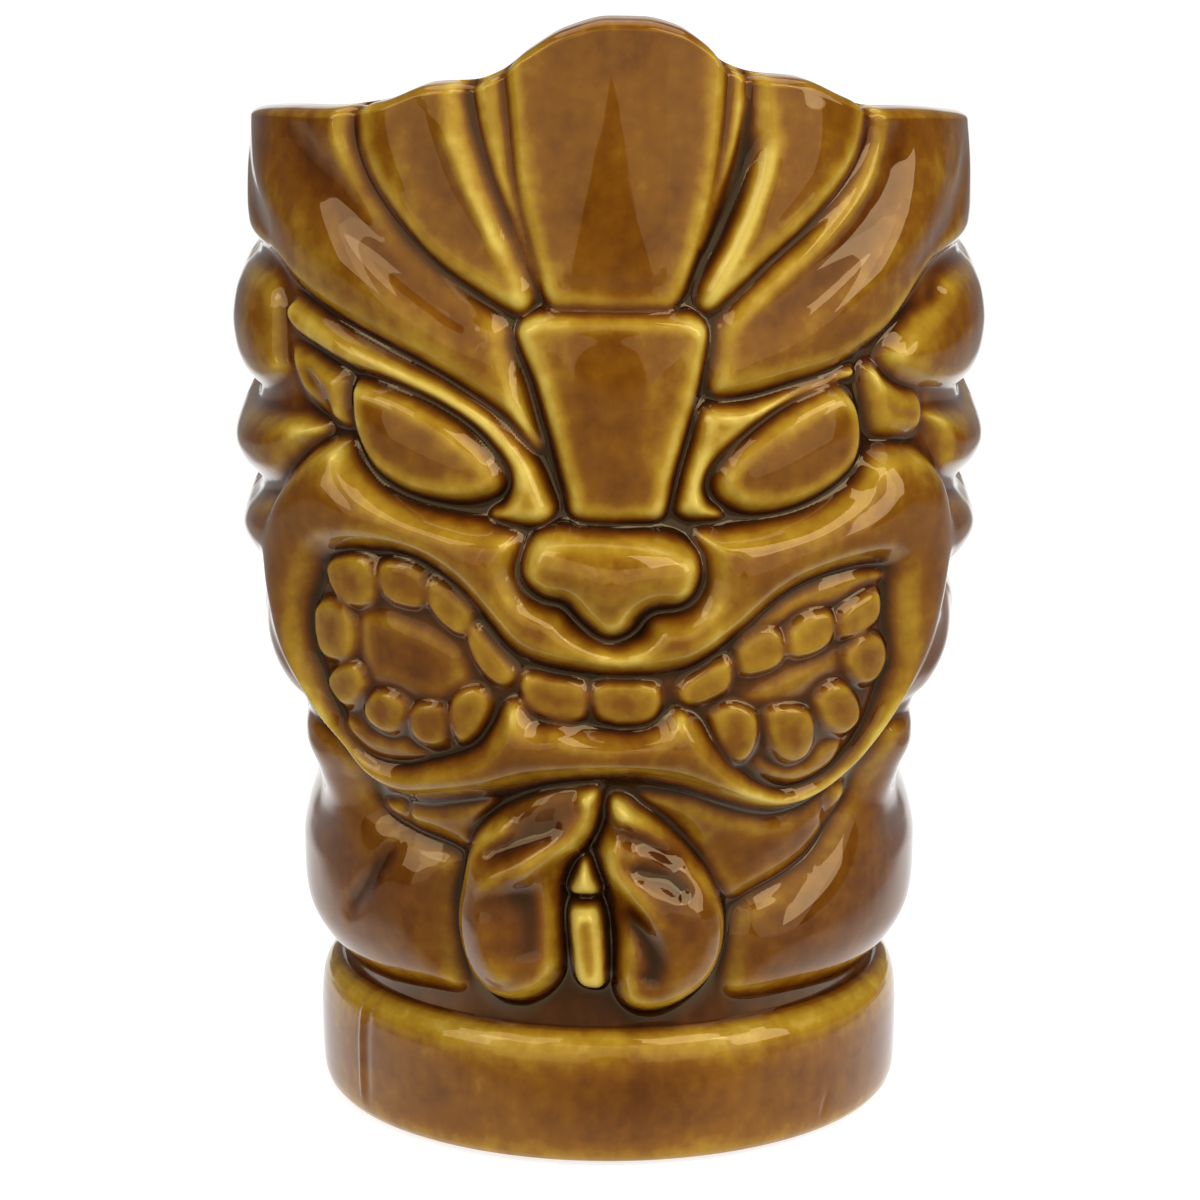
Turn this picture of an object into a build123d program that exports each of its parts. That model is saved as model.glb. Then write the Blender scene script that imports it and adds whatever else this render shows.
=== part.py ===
"""Tiki mug: a slip-cast, glazed drinking mug in the shape of a squatting idol with a big head.

The mug is a hollow cup wall on a round plinth. Every carved form of the idol, such as a lobe of
the crest, an eye or a tooth, is its own solid that lies face to face on the cup wall. The grooves
between the carved forms go down to the cup wall.

Frame: +Z up, origin at the middle of the foot on the table, the face looks along -Y, and +X is
on the right of someone who looks at the face. Units are millimetres.

Carved outlines are drawn on the body unrolled flat: the first number is the way round the body
from the middle of the face, towards +X, and the second is the height above the table.
"""
from build123d import *
import os
from math import cos, radians, sin, tan

# Plinth
PLINTH_RADIUS = 39.7
PLINTH_HEIGHT = 18.6
PLINTH_FLOOR = 7.0            # thickness of the mug's bottom
PLINTH_TOP_ROUND = 2.0
PLINTH_FOOT_ROUND = 5.0
CUP_CORNER_ROUND = 5.0        # inside, where the floor meets the wall
FOOT_RECESS_RADIUS = 29.0     # the shallow hollow inside the foot ring
FOOT_RECESS_DEPTH = 1.2

# Cup wall, as distances inward from the mean carved surface
WALL_OUTSIDE = 3.0            # bottom of the grooves
WALL_INSIDE = 5.6             # drink side of the wall

# Mean carved surface: height, half width, half depth, squareness of the rounded section
SECTIONS = [
    (8, 39.5, 39.5, 2.0),
    (19, 39.5, 39.1, 2.0),
    (28, 40.3, 38.5, 2.1),
    (38, 40.0, 38.5, 2.15),
    (44, 39.6, 39.5, 2.2),
    (49, 40.8, 41.4, 2.3),
    (54, 43.4, 43.8, 2.4),
    (60, 45.5, 45.3, 2.45),
    (70, 46.8, 46.0, 2.5),
    (88, 47.6, 45.2, 2.48),
    (108, 47.5, 44.5, 2.4),
    (134, 46.5, 43.5, 2.3),
    (156, 45.0, 42.0, 2.3),
]
SECTION_STEP = 30             # degrees between the points of one section

# Rim of the cup wall, seen from the front: distance from the middle, height
FRONT_RIM = [
    (-60, 133.6), (-46, 133.6), (-38, 136.4), (-31, 137.2), (-23, 140.8), (-17, 141.2), (-12.5, 143.8),
    (-8, 147), (0, 149.2), (8, 148.4), (12.8, 144.6), (17, 142.2), (22, 141.6), (31, 137.2), (38, 136.2),
    (46, 133.6), (60, 133.6),
]
BACK_RIM = [
    (-60, 133.6), (-46, 133.6), (-42, 130.6), (-32, 129), (-20, 129), (0, 130.6), (20, 129), (32, 129),
    (42, 130.6), (46, 133.6), (60, 133.6),
]
ABOVE_RIM = 165.0
OUTSIDE = 70.0                # clear of the mug on every side

# Unrolled drawing
GIRTH = 46.0                  # millimetres of drawing for each radian round the body
STEPS_PER_SPAN = 2            # straight steps between two points of an outline
CORE = 32.0                   # a carved form's radial walls start at least this far from the axis
REACH = 60.0                  # and end here or further out

# Carved forms: how far the form stands above the mean surface, and its outline (around, height)
CREST = {
    "crest_center": (0, [
        (-13, 144.5), (-12.5, 137.5), (-11.5, 129), (-9.5, 121.5), (-7.5, 115.8), (-4, 115),
        (5, 114.8), (8.3, 115.5), (10.5, 120), (12.8, 127), (14.3, 135), (15, 144.5), (12, 147.5),
        (8, 149.3), (3, 150), (-2.5, 149.7), (-8, 147.8),
    ]),
    "crest_rib_left": (-0.8, [
        (-18.2, 141), (-16, 142), (-14.8, 142), (-13.6, 136), (-12.5, 129), (-10.8, 122.3),
        (-9, 117.3), (-10.5, 119.3), (-13, 125.5), (-16.2, 133.5),
    ]),
    "crest_rib_right": (-0.8, [
        (16.6, 143), (18.2, 142.6), (18.2, 139.7), (16.8, 133.7), (14.5, 127.6), (12.4, 121.8),
        (12.3, 123), (13.7, 127.5), (15.2, 133.5), (16, 138.6),
    ]),
    "crest_inner_left": (0, [
        (-34, 137.8), (-30, 139.7), (-25, 141.8), (-21, 141.8), (-18.8, 137), (-15.6, 129),
        (-12.5, 122.5), (-10.2, 117.3), (-10.2, 115), (-12.2, 113.6), (-17.5, 116.5), (-23.5, 120.5),
        (-29, 126), (-32.8, 131), (-34.2, 135),
    ]),
    "crest_inner_right": (0, [
        (19.5, 142.3), (23.2, 142.5), (28.2, 141.9), (33, 139.6), (35.6, 137.5), (34.5, 133.5),
        (31.5, 129), (26, 123.8), (21, 120), (17.3, 116.8), (14.3, 114.2), (12.6, 114), (12, 115.7),
        (13, 118.3), (15.9, 123), (18.3, 129), (19.4, 135),
    ]),
    "crest_outer_left": (0.5, [
        (-35, 137.8), (-34.9, 134.7), (-33.4, 130), (-29.6, 125), (-24, 119.6), (-18, 115.2),
        (-13.6, 112.3), (-12.5, 109.5), (-11.3, 105), (-10, 100), (-8.9, 96.8), (-10, 97.2),
        (-14.5, 101.6), (-21.5, 105.8), (-28.7, 109), (-36, 111.6), (-44, 114.4), (-51, 117.2),
        (-60, 117.8), (-70, 118), (-77, 120.4), (-79, 126), (-76, 131.5), (-68, 134.5), (-55, 136.5),
        (-42, 138),
    ]),
    "crest_outer_right": (0.5, [
        (36.2, 137.5), (35.6, 134), (32.6, 129), (27, 123.5), (21.5, 119.2), (17.5, 115.6),
        (14.5, 112.8), (13.6, 109.9), (12.9, 105.6), (14, 103.2), (18.4, 103.6), (23.7, 104.7),
        (29, 105.8), (33.4, 107.6), (38.7, 110.3), (44.5, 114.6), (50, 117.2), (60, 117.8), (70, 118),
        (77, 120.4), (79, 126), (76, 131.5), (68, 134.5), (56, 136), (44, 137.5),
    ]),
    "back_crest": (1, [
        (82, 131), (81.5, 124), (84, 120), (92, 120), (106, 120.5), (118, 118), (130, 113.5),
        (144.5, 111), (159, 113.5), (171, 118), (183, 120.5), (197, 120), (205, 120), (207.5, 124),
        (207, 131), (196, 130), (178, 129), (160, 130.5), (144.5, 131.5), (129, 130.5), (111, 129),
        (93, 130),
    ]),
}

FACE = {
    "forehead_plate": (0.8, [
        (-12, 111.2), (-9.8, 113.5), (-6, 114), (1.4, 114.1), (7.6, 113.9), (11, 113.3), (12.8, 111.5),
        (12.2, 107.5), (11, 102.5), (9.6, 98), (8.2, 93.2), (7, 88.5), (3.9, 87.7), (-4, 88),
        (-5.6, 92), (-7.6, 99), (-9.6, 105.5),
    ]),
    "nose": (2.6, [
        (-10.2, 82), (-9.2, 84.8), (-7, 86.3), (-1, 86.6), (5.6, 85.9), (9.6, 84.2), (10.8, 81.8),
        (10, 78.8), (8.2, 77.4), (5.4, 77.2), (3.7, 76.2), (2.4, 74.5), (0.6, 73.6), (-1.3, 74),
        (-3.2, 75.8), (-5, 77.8), (-7.5, 78.3), (-9.5, 79.8),
    ]),
    "eyelid_left": (0.5, [
        (-44.5, 113.2), (-36, 110.4), (-28, 107.4), (-20.5, 104), (-14, 99.9), (-10, 95.6), (-8, 91.5),
        (-7.2, 88.8), (-9, 87.2), (-12.8, 87.5), (-15.2, 88.3), (-13.4, 89.6), (-12.4, 92),
        (-13.4, 95.2), (-17.2, 99.4), (-22.4, 102.4), (-28.3, 104.4), (-34.2, 105.6), (-40, 107.4),
        (-44.5, 108.8), (-46.5, 111),
    ]),
    "eyelid_right": (0.5, [
        (12.2, 101.8), (18.3, 102.1), (23.7, 103.4), (29.5, 104.8), (32.3, 105.6), (32.6, 104.6),
        (29.6, 104.2), (23.9, 102.5), (19.3, 100), (15.5, 97), (13, 94.3), (12, 91.6), (12.9, 89.4),
        (14.6, 88.2), (12, 87.9), (10, 88.2), (8.8, 89.5), (9.6, 93.4), (11, 98),
    ]),
    "eye_left": (0.5, [
        (-33.3, 103.7), (-28.6, 103.5), (-23.7, 101.8), (-19.2, 99.2), (-15.4, 96.2), (-13.8, 94),
        (-13.8, 92.2), (-15.6, 90.8), (-19.7, 90), (-25.5, 90.8), (-30.2, 93.2), (-33, 97.2),
        (-33.8, 101),
    ]),
    "eye_right": (0.5, [
        (13.8, 92.7), (14.7, 95.2), (17.5, 97.7), (22, 100.6), (26.6, 102.7), (30.1, 103.3),
        (32.4, 101), (33, 97), (32, 93.8), (28.7, 91.2), (23.8, 89.2), (18.7, 88.7), (15.3, 90),
    ]),
    "temple_left": (0, [
        (-45.6, 107), (-40.4, 105.8), (-35.8, 104.4), (-35.1, 102), (-34.9, 98.4), (-37, 98.1),
        (-40.1, 99.5), (-43.2, 101), (-45, 103), (-46, 105),
    ]),
    "temple_right": (0, [
        (34.4, 104.6), (36, 105.4), (38, 103), (40.5, 101.6), (44.6, 101), (41.4, 99), (44.2, 96.2),
        (43, 95.4), (39.4, 96), (36.2, 97), (35, 99.5),
    ]),
}

HAIR = {
    "lock_left_1": (1, [
        (-52, 116), (-47.5, 113), (-46.8, 109.5), (-46.6, 105.8), (-46, 103.6), (-50, 102.4),
        (-56, 102), (-66, 101.5), (-82, 103), (-100, 108), (-114, 114), (-117, 117), (-112, 118.3),
        (-100, 118.6), (-86, 118), (-70, 116.2),
    ]),
    "lock_left_2": (1, [
        (-44.5, 100), (-40.5, 98.4), (-38.8, 97), (-41.5, 94.2), (-46.3, 89.4), (-54, 87.6),
        (-66, 86.5), (-80, 87.6), (-98, 92.6), (-114, 100), (-118, 105), (-118, 110), (-113, 111.4),
        (-100, 106), (-82, 101.2), (-66, 99.8), (-54, 100.8),
    ]),
    "lock_left_3": (0.6, [
        (-48.2, 87.2), (-47.6, 84), (-49.5, 78), (-58, 75.6), (-68, 75), (-82, 76), (-98, 80),
        (-114, 87.5), (-119, 92.5), (-119, 100.5), (-114, 98), (-98, 90.6), (-80, 85.8), (-66, 84.9),
        (-56, 86),
    ]),
    "lock_left_4": (0.2, [
        (-48.6, 76), (-48.8, 71), (-47.2, 64), (-52, 60.6), (-64, 60), (-80, 60.5), (-98, 64.5),
        (-114, 72.5), (-119.5, 78), (-119, 88.6), (-114, 85.5), (-98, 78), (-82, 74.2), (-68, 73.4),
        (-57, 74),
    ]),
    "lock_right_1": (1, [
        (52, 116), (47.5, 113.2), (42, 110.6), (38.4, 108.2), (37.4, 106.2), (38.8, 104.2),
        (41.6, 102.8), (46.5, 102.4), (56, 102), (66, 101.5), (82, 103), (100, 108), (114, 114),
        (117, 117), (112, 118.3), (100, 118.6), (86, 118), (70, 116.2),
    ]),
    "lock_right_2": (1, [
        (47, 100.6), (43, 99), (45.4, 96.6), (46.6, 93.4), (47.8, 90), (54, 88), (66, 86.5),
        (80, 87.6), (98, 92.6), (114, 100), (118, 105), (118, 110), (113, 111.4), (100, 106),
        (82, 101.2), (66, 99.8), (54, 100.8),
    ]),
    "lock_right_3": (0.6, [
        (47.6, 87.4), (47.4, 83), (49, 78), (58, 75.6), (68, 75), (82, 76), (98, 80), (114, 87.5),
        (119, 92.5), (119, 100.5), (114, 98), (98, 90.6), (80, 85.8), (66, 84.9), (56, 86),
    ]),
    "lock_right_4": (0.2, [
        (47.6, 76), (46.6, 71), (45.2, 64), (50, 60.6), (64, 60), (80, 60.5), (98, 64.5), (114, 72.5),
        (119.5, 78), (119, 88.6), (114, 85.5), (98, 78), (82, 74.2), (68, 73.4), (57, 74),
    ]),
    "back_panel": (1.2, [
        (121, 113.5), (121, 100), (121.5, 80), (124, 66), (132, 60), (144.5, 58.5), (157, 60),
        (165, 66), (167.5, 80), (168, 100), (168, 113.5), (160, 111.5), (144.5, 109), (129, 111.5),
    ]),
}

MOUTH_PARTS = {
    "tongue_left": (-1.5, [
        (-32.7, 73.6), (-30, 74.8), (-26.4, 74.2), (-21.8, 72.6), (-19.2, 70.4), (-18.2, 67.4),
        (-18, 66.3), (-20.2, 65.3), (-22, 63.9), (-25, 64), (-28, 65), (-31, 65.3), (-32.2, 67),
        (-33, 70),
    ]),
    "tongue_right": (-1.5, [
        (17.5, 64.6), (20, 66.6), (24, 68.3), (27.5, 69.3), (30, 70), (30, 68), (30, 66.6), (27.5, 66),
        (25.5, 64.2), (23, 63.6), (20, 63.6),
    ]),
    "tooth_upper_left_1": (-0.5, [
        (-37.7, 79), (-35.8, 80.6), (-32.5, 81.2), (-30.6, 79.6), (-30.8, 76.6), (-33, 75.4),
        (-36.1, 76),
    ]),
    "tooth_upper_left_2": (-0.5, [
        (-29.3, 80.6), (-26.6, 81.2), (-24, 80.2), (-24, 76.6), (-26.2, 76.2), (-28.8, 77.2),
    ]),
    "tooth_upper_left_3": (-0.5, [
        (-22.5, 79.3), (-20, 78.3), (-17.5, 76), (-18, 74.2), (-19, 73.2), (-21, 74.4), (-22.7, 76.6),
    ]),
    "tooth_upper_left_4": (-0.5, [
        (-16.9, 73.9), (-15.4, 72.4), (-13.6, 70.2), (-12.3, 68.2), (-13.7, 66.9), (-15.4, 67.8),
        (-16.8, 69.8), (-17.6, 72),
    ]),
    "tooth_side_left": (-0.5, [
        (-40.2, 73), (-37.5, 74.7), (-34.9, 74.2), (-34, 71), (-34.8, 68.4), (-37.5, 67.6),
        (-39.8, 68.5),
    ]),
    "tooth_lower_left_1": (-0.5, [
        (-38.6, 64.3), (-36, 66.4), (-33.6, 66.8), (-32.6, 64.8), (-33.8, 62.9), (-36.2, 61.4),
        (-38, 62.5),
    ]),
    "tooth_lower_left_2": (-0.5, [
        (-32.8, 61), (-31.2, 63.4), (-28.8, 63.8), (-26.8, 62.6), (-27.4, 60.4), (-29.3, 58.8),
        (-31.6, 59.3),
    ]),
    "tooth_lower_left_3": (-0.5, [
        (-25.6, 62), (-23.6, 63), (-21.6, 62.7), (-21.4, 60), (-22, 58.4), (-24.2, 57.9), (-25.8, 59),
    ]),
    "tooth_lower_left_4": (-0.5, [
        (-19.8, 64), (-17.9, 65.4), (-16.2, 65.2), (-15.9, 63), (-17.3, 60.3), (-19.4, 58.9),
        (-20.3, 61.4),
    ]),
    "tooth_front_left": (-0.5, [
        (-10.5, 67.6), (-7, 67.2), (-3.6, 66.5), (-3.3, 63.6), (-4.7, 62.4), (-7.9, 62.8), (-10.3, 64.4),
    ]),
    "tooth_front_right": (-0.5, [
        (-1.6, 66.2), (2, 66.6), (5.7, 66.2), (6, 63.8), (4.6, 62.2), (1.1, 62), (-1.2, 63.2),
    ]),
    "tooth_upper_right_1": (-0.5, [
        (9.3, 66.2), (12, 68.3), (14.7, 69.6), (15.2, 68), (14.8, 66), (12.8, 64.9), (10.4, 64.4),
    ]),
    "tooth_upper_right_2": (-0.5, [
        (16.6, 71.2), (18.7, 72.8), (21, 73), (21.9, 71.2), (21.6, 69.2), (19.4, 68.2), (17, 68.3),
    ]),
    "tooth_upper_right_3": (-0.5, [
        (23.2, 73), (25.3, 74.6), (28.1, 74.6), (28.6, 72.8), (28, 70.9), (25.5, 69.9), (23.1, 70.3),
    ]),
    "tooth_upper_right_4": (-0.5, [
        (30.1, 74.4), (32.8, 75.9), (35.3, 76.4), (35.9, 74.6), (35.4, 72.9), (33, 71.8), (30.2, 71.8),
    ]),
    "tooth_side_right": (-0.5, [
        (31, 68.2), (32, 70.1), (33.9, 70.8), (36.4, 69.8), (37.2, 67.2), (35.9, 65), (33.3, 65.2),
    ]),
    "tooth_lower_right_4": (-0.5, [
        (27.4, 63), (29.4, 64.8), (31.4, 64.2), (33.4, 61.9), (33.8, 59.6), (31.8, 58.3), (29.2, 59.8),
    ]),
    "tooth_lower_right_3": (-0.5, [
        (20.6, 61.9), (23, 62.5), (25.9, 61.6), (26.9, 58.8), (26.7, 56.2), (24.5, 55.4), (21.9, 57.6),
    ]),
    "tooth_lower_right_2": (-0.5, [
        (13.7, 62.2), (15.7, 63.4), (18.4, 62.2), (19, 59.7), (18.4, 57), (16.8, 56.4), (14.6, 59),
    ]),
    "gum_lower_left": (-1.2, [
        (-36.6, 59.3), (-34.7, 58.9), (-33, 57.8), (-30, 57.6), (-27.8, 57.6), (-26.6, 56.8),
        (-25.2, 56.2), (-28, 55), (-32.6, 54.6), (-35.4, 55.6), (-37.2, 57.4),
    ]),
    "gum_lower_right": (-1.2, [
        (20.2, 55.9), (22.3, 54.9), (25, 54.1), (27.6, 54.6), (29, 56.6), (31, 57.2), (32.4, 56.4),
        (32, 54), (29.8, 52.4), (26.6, 51.6), (23.2, 52.8), (20.9, 54.4),
    ]),
    "gum_upper_right": (-1.2, [
        (16.6, 72), (18.2, 74), (23.4, 77.4), (30.1, 79.2), (35.6, 79), (36.6, 78), (32.8, 77.2), (29.5, 76),
        (25, 75.5), (21.8, 74), (19, 73.3), (17.6, 72.2),
    ]),
}

TORSO = {
    "arm_left": (1, [
        (-41.5, 55.5), (-39, 51.5), (-39.6, 47.7), (-38.2, 44.9), (-31.3, 42.4), (-23, 40.4),
        (-23.2, 35), (-22.8, 28.5), (-23.5, 25.5), (-32, 24.5), (-45, 24), (-60, 24.2), (-74, 26),
        (-85, 31), (-91, 39), (-90, 49), (-82, 56), (-68, 57.8), (-52, 58.2),
    ]),
    "arm_right": (1, [
        (42.3, 57), (41, 52), (40.6, 47), (38, 43), (34, 39.8), (28, 37), (21, 34.6), (19, 31),
        (18.6, 26.5), (22, 23.8), (32, 23.2), (46, 23), (60, 23.6), (74, 26), (85, 31), (91, 39),
        (90, 49), (82, 56), (68, 57.8), (52, 58.2),
    ]),
    "hand_left": (4.6, [
        (-20, 41.5), (-18.6, 45.2), (-15.2, 48.6), (-10, 51.4), (-5, 52.7), (-1.6, 52.8), (-1, 50.4),
        (-1.6, 47), (-3.6, 43.8), (-6, 41), (-7.2, 37.2), (-6.8, 32.6), (-7.1, 27.9), (-9.6, 25),
        (-13.5, 23.6), (-17.1, 24.6), (-20.3, 28.9), (-21.2, 35),
    ]),
    "hand_right": (4.6, [
        (0, 51), (2, 51.2), (5.1, 49), (8.1, 46.5), (11.3, 42.8), (14.5, 38.5), (16.3, 34.5),
        (16, 29.7), (14, 26.2), (9.6, 23.7), (5.5, 23), (2, 24), (0.7, 27.4), (0.8, 32.7), (-0.1, 37),
        (-1.2, 40.8), (-1.8, 44), (-0.6, 47.5),
    ]),
    "thumb_upper": (3, [
        (-5, 41), (-3.6, 42.6), (-2.2, 40.8), (-1.2, 37.9), (-3.4, 37.3), (-6, 37.9),
    ]),
    "thumb_lower": (3.4, [
        (-6, 35.4), (-4.1, 36.7), (-1.4, 36.2), (-0.4, 31.6), (-0.5, 25.6), (-2.6, 24.8), (-5, 26),
        (-5.8, 31),
    ]),
    "chest_left": (-0.6, [
        (-38.2, 46.4), (-33.3, 47.4), (-26, 48.2), (-20, 49.2), (-16.5, 50.2), (-18.6, 47.9),
        (-21, 45), (-22, 42.4), (-28.7, 43.4), (-33.5, 44), (-37.2, 45.2),
    ]),
    "chest_right": (-0.6, [
        (4.6, 51.4), (11, 50.8), (18, 48.2), (25.5, 46.2), (32, 47.3), (36.4, 49.5), (39.4, 48.6),
        (38.8, 45.4), (35.3, 41.6), (31.4, 39), (24.2, 36.6), (20.3, 35.6), (17, 37.6), (12.8, 43.6),
        (9, 47.6), (6, 49.8),
    ]),
}

# Lips and the open mouth inside them
LIPS = [
    (-34.3, 96), (-32.4, 93.5), (-29.8, 91.3), (-25.2, 89), (-19, 87.6), (-14.3, 87), (-11.2, 85.5),
    (-11.4, 81.6), (-9.8, 78.3), (-6.2, 76.4), (-3.8, 74.2), (0.6, 72.2), (4, 73.2), (5.8, 75.4),
    (9.7, 76.4), (11.8, 79.4), (11.8, 83.5), (11.3, 86), (14.5, 86.4), (19.9, 86.9), (25.4, 88.1),
    (31, 90.9), (34, 94.2), (37.4, 94.9), (41, 93.6), (43.7, 90), (45.3, 83.2), (44.6, 75.4),
    (41.7, 68.1), (37.7, 60.1), (35.3, 53.5), (32, 48.8), (25.6, 47.6), (17.7, 49.5), (10.4, 52.4),
    (3.9, 53.9), (-2.4, 54), (-8.8, 53.2), (-15.5, 51.4), (-23, 49.6), (-29.7, 48.5), (-34, 50),
    (-37, 55), (-40.6, 60.9), (-43.8, 66.2), (-46.9, 73.5), (-47, 80.8), (-43.7, 87.4), (-39.5, 93.3),
    (-37, 96),
]
MOUTH = [
    (-38.7, 80.2), (-35.3, 82.2), (-29, 82.9), (-23.7, 81.9), (-19.2, 79), (-15.4, 74.9), (-12, 71.1),
    (-7.4, 69.2), (0.1, 68.2), (6.4, 68.4), (11.3, 69.6), (16.8, 73.5), (23.2, 78.4), (30.7, 80.4),
    (37, 79.7), (37.7, 73.9), (38.4, 67.1), (37.5, 61.1), (35.2, 55.6), (31.4, 51.9), (25.6, 50.5),
    (19.6, 53), (14.9, 57.3), (11.4, 62), (8.9, 63.5), (6.4, 61.6), (2, 60.6), (-2.4, 60.8),
    (-6.2, 61.9), (-9.3, 62.1), (-11.2, 64.7), (-13.3, 64.1), (-15, 60.8), (-17.9, 57.5),
    (-23.7, 55.2), (-30.1, 53.9), (-36.2, 55.8), (-39, 60.9), (-41.8, 67.1), (-41.9, 73),
]

LIPS_LEVEL = 2.0


def section_point(azimuth, half_width, half_depth, squareness):
    """Point of a rounded section, at an azimuth in degrees from the front towards +X."""
    across = abs(sin(radians(azimuth))) / half_width
    along = abs(cos(radians(azimuth))) / half_depth
    radius = (across**squareness + along**squareness) ** (-1 / squareness)
    return radius * sin(radians(azimuth)), -radius * cos(radians(azimuth))


def body(level):
    """Solid inside the mean carved surface, grown outward by level."""
    with BuildPart() as form:
        for height, half_width, half_depth, squareness in SECTIONS:
            with BuildSketch(Plane.XY.offset(height)):
                with BuildLine():
                    Spline(
                        *[
                            section_point(azimuth, half_width + level, half_depth + level, squareness)
                            for azimuth in range(180, 540, SECTION_STEP)
                        ],
                        periodic=True,
                    )
                make_face()
        loft()
    return form.part


def coat(level):
    """Layer between the bottom of the grooves and a level."""
    with BuildPart() as layer:
        add(body(level))
        add(cup_outside, mode=Mode.SUBTRACT)
    return layer.part


def facing_plane(middle, distance):
    """Upright plane that faces the axis at a place round the drawing, at a distance from it."""
    azimuth = middle / GIRTH
    outward = Vector(sin(azimuth), -cos(azimuth), 0)
    return Plane(origin=outward * distance, x_dir=(cos(azimuth), sin(azimuth), 0), z_dir=outward)


def smooth(outline):
    """Closed curve through the points of an outline (Catmull-Rom), as a fine polygon."""
    count = len(outline)
    curve = []
    for index in range(count):
        before, start, end, after = (Vector(*outline[(index + shift) % count]) for shift in (-1, 0, 1, 2))
        for step in range(STEPS_PER_SPAN):
            t = step / STEPS_PER_SPAN
            point = start * 2 + (end - before) * t
            point += (before * 2 - start * 5 + end * 4 - after) * t**2
            point += (start * 3 - before - end * 3 + after) * t**3
            curve.append((point.X / 2, point.Y / 2))
    return curve


def radial_prism(outline):
    """Solid whose walls run out from the axis through every point of an unrolled outline."""
    around = [u for u, height in outline]
    middle = (min(around) + max(around)) / 2
    half_angle = (max(around) - middle) / GIRTH
    with BuildPart() as prism:
        for distance in (CORE * cos(half_angle), REACH):
            points = [(distance * tan((u - middle) / GIRTH), height) for u, height in smooth(outline)]
            with BuildSketch(facing_plane(middle, distance)):
                with BuildLine():
                    Polyline(*points, close=True)
                make_face()
        loft(ruled=True)
    return prism.part


def rim_cutter(profile, depth):
    """Everything above a rim profile, on the front half or the back half of the mug."""
    left, right = profile[0], profile[-1]
    with BuildPart() as cutter:
        with BuildSketch(Plane.XZ):
            with BuildLine():
                Spline(*profile)
                Polyline(right, (right[0], ABOVE_RIM), (left[0], ABOVE_RIM), left)
            make_face()
        extrude(amount=depth)
    return cutter.part


def save(piece, name):
    piece.part.label = name
    export_step(piece.part, f"parts/{name}.step")


os.makedirs("parts", exist_ok=True)

cup_outside = body(-WALL_OUTSIDE)
cup_inside = body(-WALL_INSIDE)

# Cup wall: from the plinth up to the scalloped rim
with BuildPart() as vessel:
    add(cup_outside)
    add(cup_inside, mode=Mode.SUBTRACT)
    split(bisect_by=Plane.XY.offset(PLINTH_HEIGHT), keep=Keep.TOP)
    add(rim_cutter(FRONT_RIM, OUTSIDE), mode=Mode.SUBTRACT)
    add(rim_cutter(BACK_RIM, -OUTSIDE), mode=Mode.SUBTRACT)
save(vessel, "vessel")

# Plinth: the round base with the mug's bottom, on a foot ring
inner_radius = PLINTH_RADIUS - WALL_INSIDE
with BuildPart() as plinth:
    Cylinder(PLINTH_RADIUS, PLINTH_HEIGHT, align=(Align.CENTER, Align.CENTER, Align.MIN))
    fillet(plinth.edges().sort_by(Axis.Z)[-1], PLINTH_TOP_ROUND)
    fillet(plinth.edges().sort_by(Axis.Z)[0], PLINTH_FOOT_ROUND)
    with Locations((0, 0, PLINTH_FLOOR)):
        Cylinder(inner_radius, PLINTH_HEIGHT, align=(Align.CENTER, Align.CENTER, Align.MIN), mode=Mode.SUBTRACT)
    fillet(plinth.edges().filter_by(GeomType.CIRCLE).filter_by(
        lambda edge: abs(edge.center().Z - PLINTH_FLOOR) < 0.01), CUP_CORNER_ROUND)
    with Locations((0, 0, 0)):
        Cylinder(
            FOOT_RECESS_RADIUS, FOOT_RECESS_DEPTH, align=(Align.CENTER, Align.CENTER, Align.MIN),
            mode=Mode.SUBTRACT,
        )
save(plinth, "plinth")

# Carved forms
carved = {**CREST, **FACE, **HAIR, **MOUTH_PARTS, **TORSO}
coats = {level: coat(level) for level in {level for level, outline in carved.values()}}
for name, (level, outline) in carved.items():
    with BuildPart() as form:
        add(radial_prism(outline))
        add(coats[level], mode=Mode.INTERSECT)
    save(form, name)

# Lips: one ring of upper lip, cheeks and lower lip round the open mouth
with BuildPart() as lips:
    add(radial_prism(LIPS))
    add(radial_prism(MOUTH), mode=Mode.SUBTRACT)
    add(coat(LIPS_LEVEL), mode=Mode.INTERSECT)
save(lips, "lips")
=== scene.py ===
"""Tiki mug, its looks: a sculpted and glazed surface over the CAD frame.

The whole outside of the mug is one height field over the body unrolled flat. Every carved form
adds its pillow to it, strokes add folds and ridges, and the field is then cut into one closed
piece for each carved form, so that the glaze runs on across the grooves without a seam.

Unrolled drawing, in millimetres: the first number of a point is the way round the body from the
middle of the face, towards +X, and the second is the height above the table.
"""
from math import atan2, pi

import bpy
import numpy as np
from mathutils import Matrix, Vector


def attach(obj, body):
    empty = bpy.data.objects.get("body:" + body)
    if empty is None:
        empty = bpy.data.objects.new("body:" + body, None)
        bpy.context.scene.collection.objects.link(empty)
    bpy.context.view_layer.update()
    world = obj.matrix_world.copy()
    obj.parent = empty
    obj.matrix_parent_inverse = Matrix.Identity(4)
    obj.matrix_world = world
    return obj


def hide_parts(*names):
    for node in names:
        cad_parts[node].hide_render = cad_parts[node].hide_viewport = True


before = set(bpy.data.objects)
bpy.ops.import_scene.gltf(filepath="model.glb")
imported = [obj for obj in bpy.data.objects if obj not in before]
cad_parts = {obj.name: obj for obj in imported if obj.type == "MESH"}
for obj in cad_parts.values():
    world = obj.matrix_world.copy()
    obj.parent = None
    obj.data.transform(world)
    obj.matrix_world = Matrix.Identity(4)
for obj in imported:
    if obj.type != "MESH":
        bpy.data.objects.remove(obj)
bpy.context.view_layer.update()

MM = 0.001
GIRTH = 46.0                  # millimetres of drawing for each radian round the body
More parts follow.
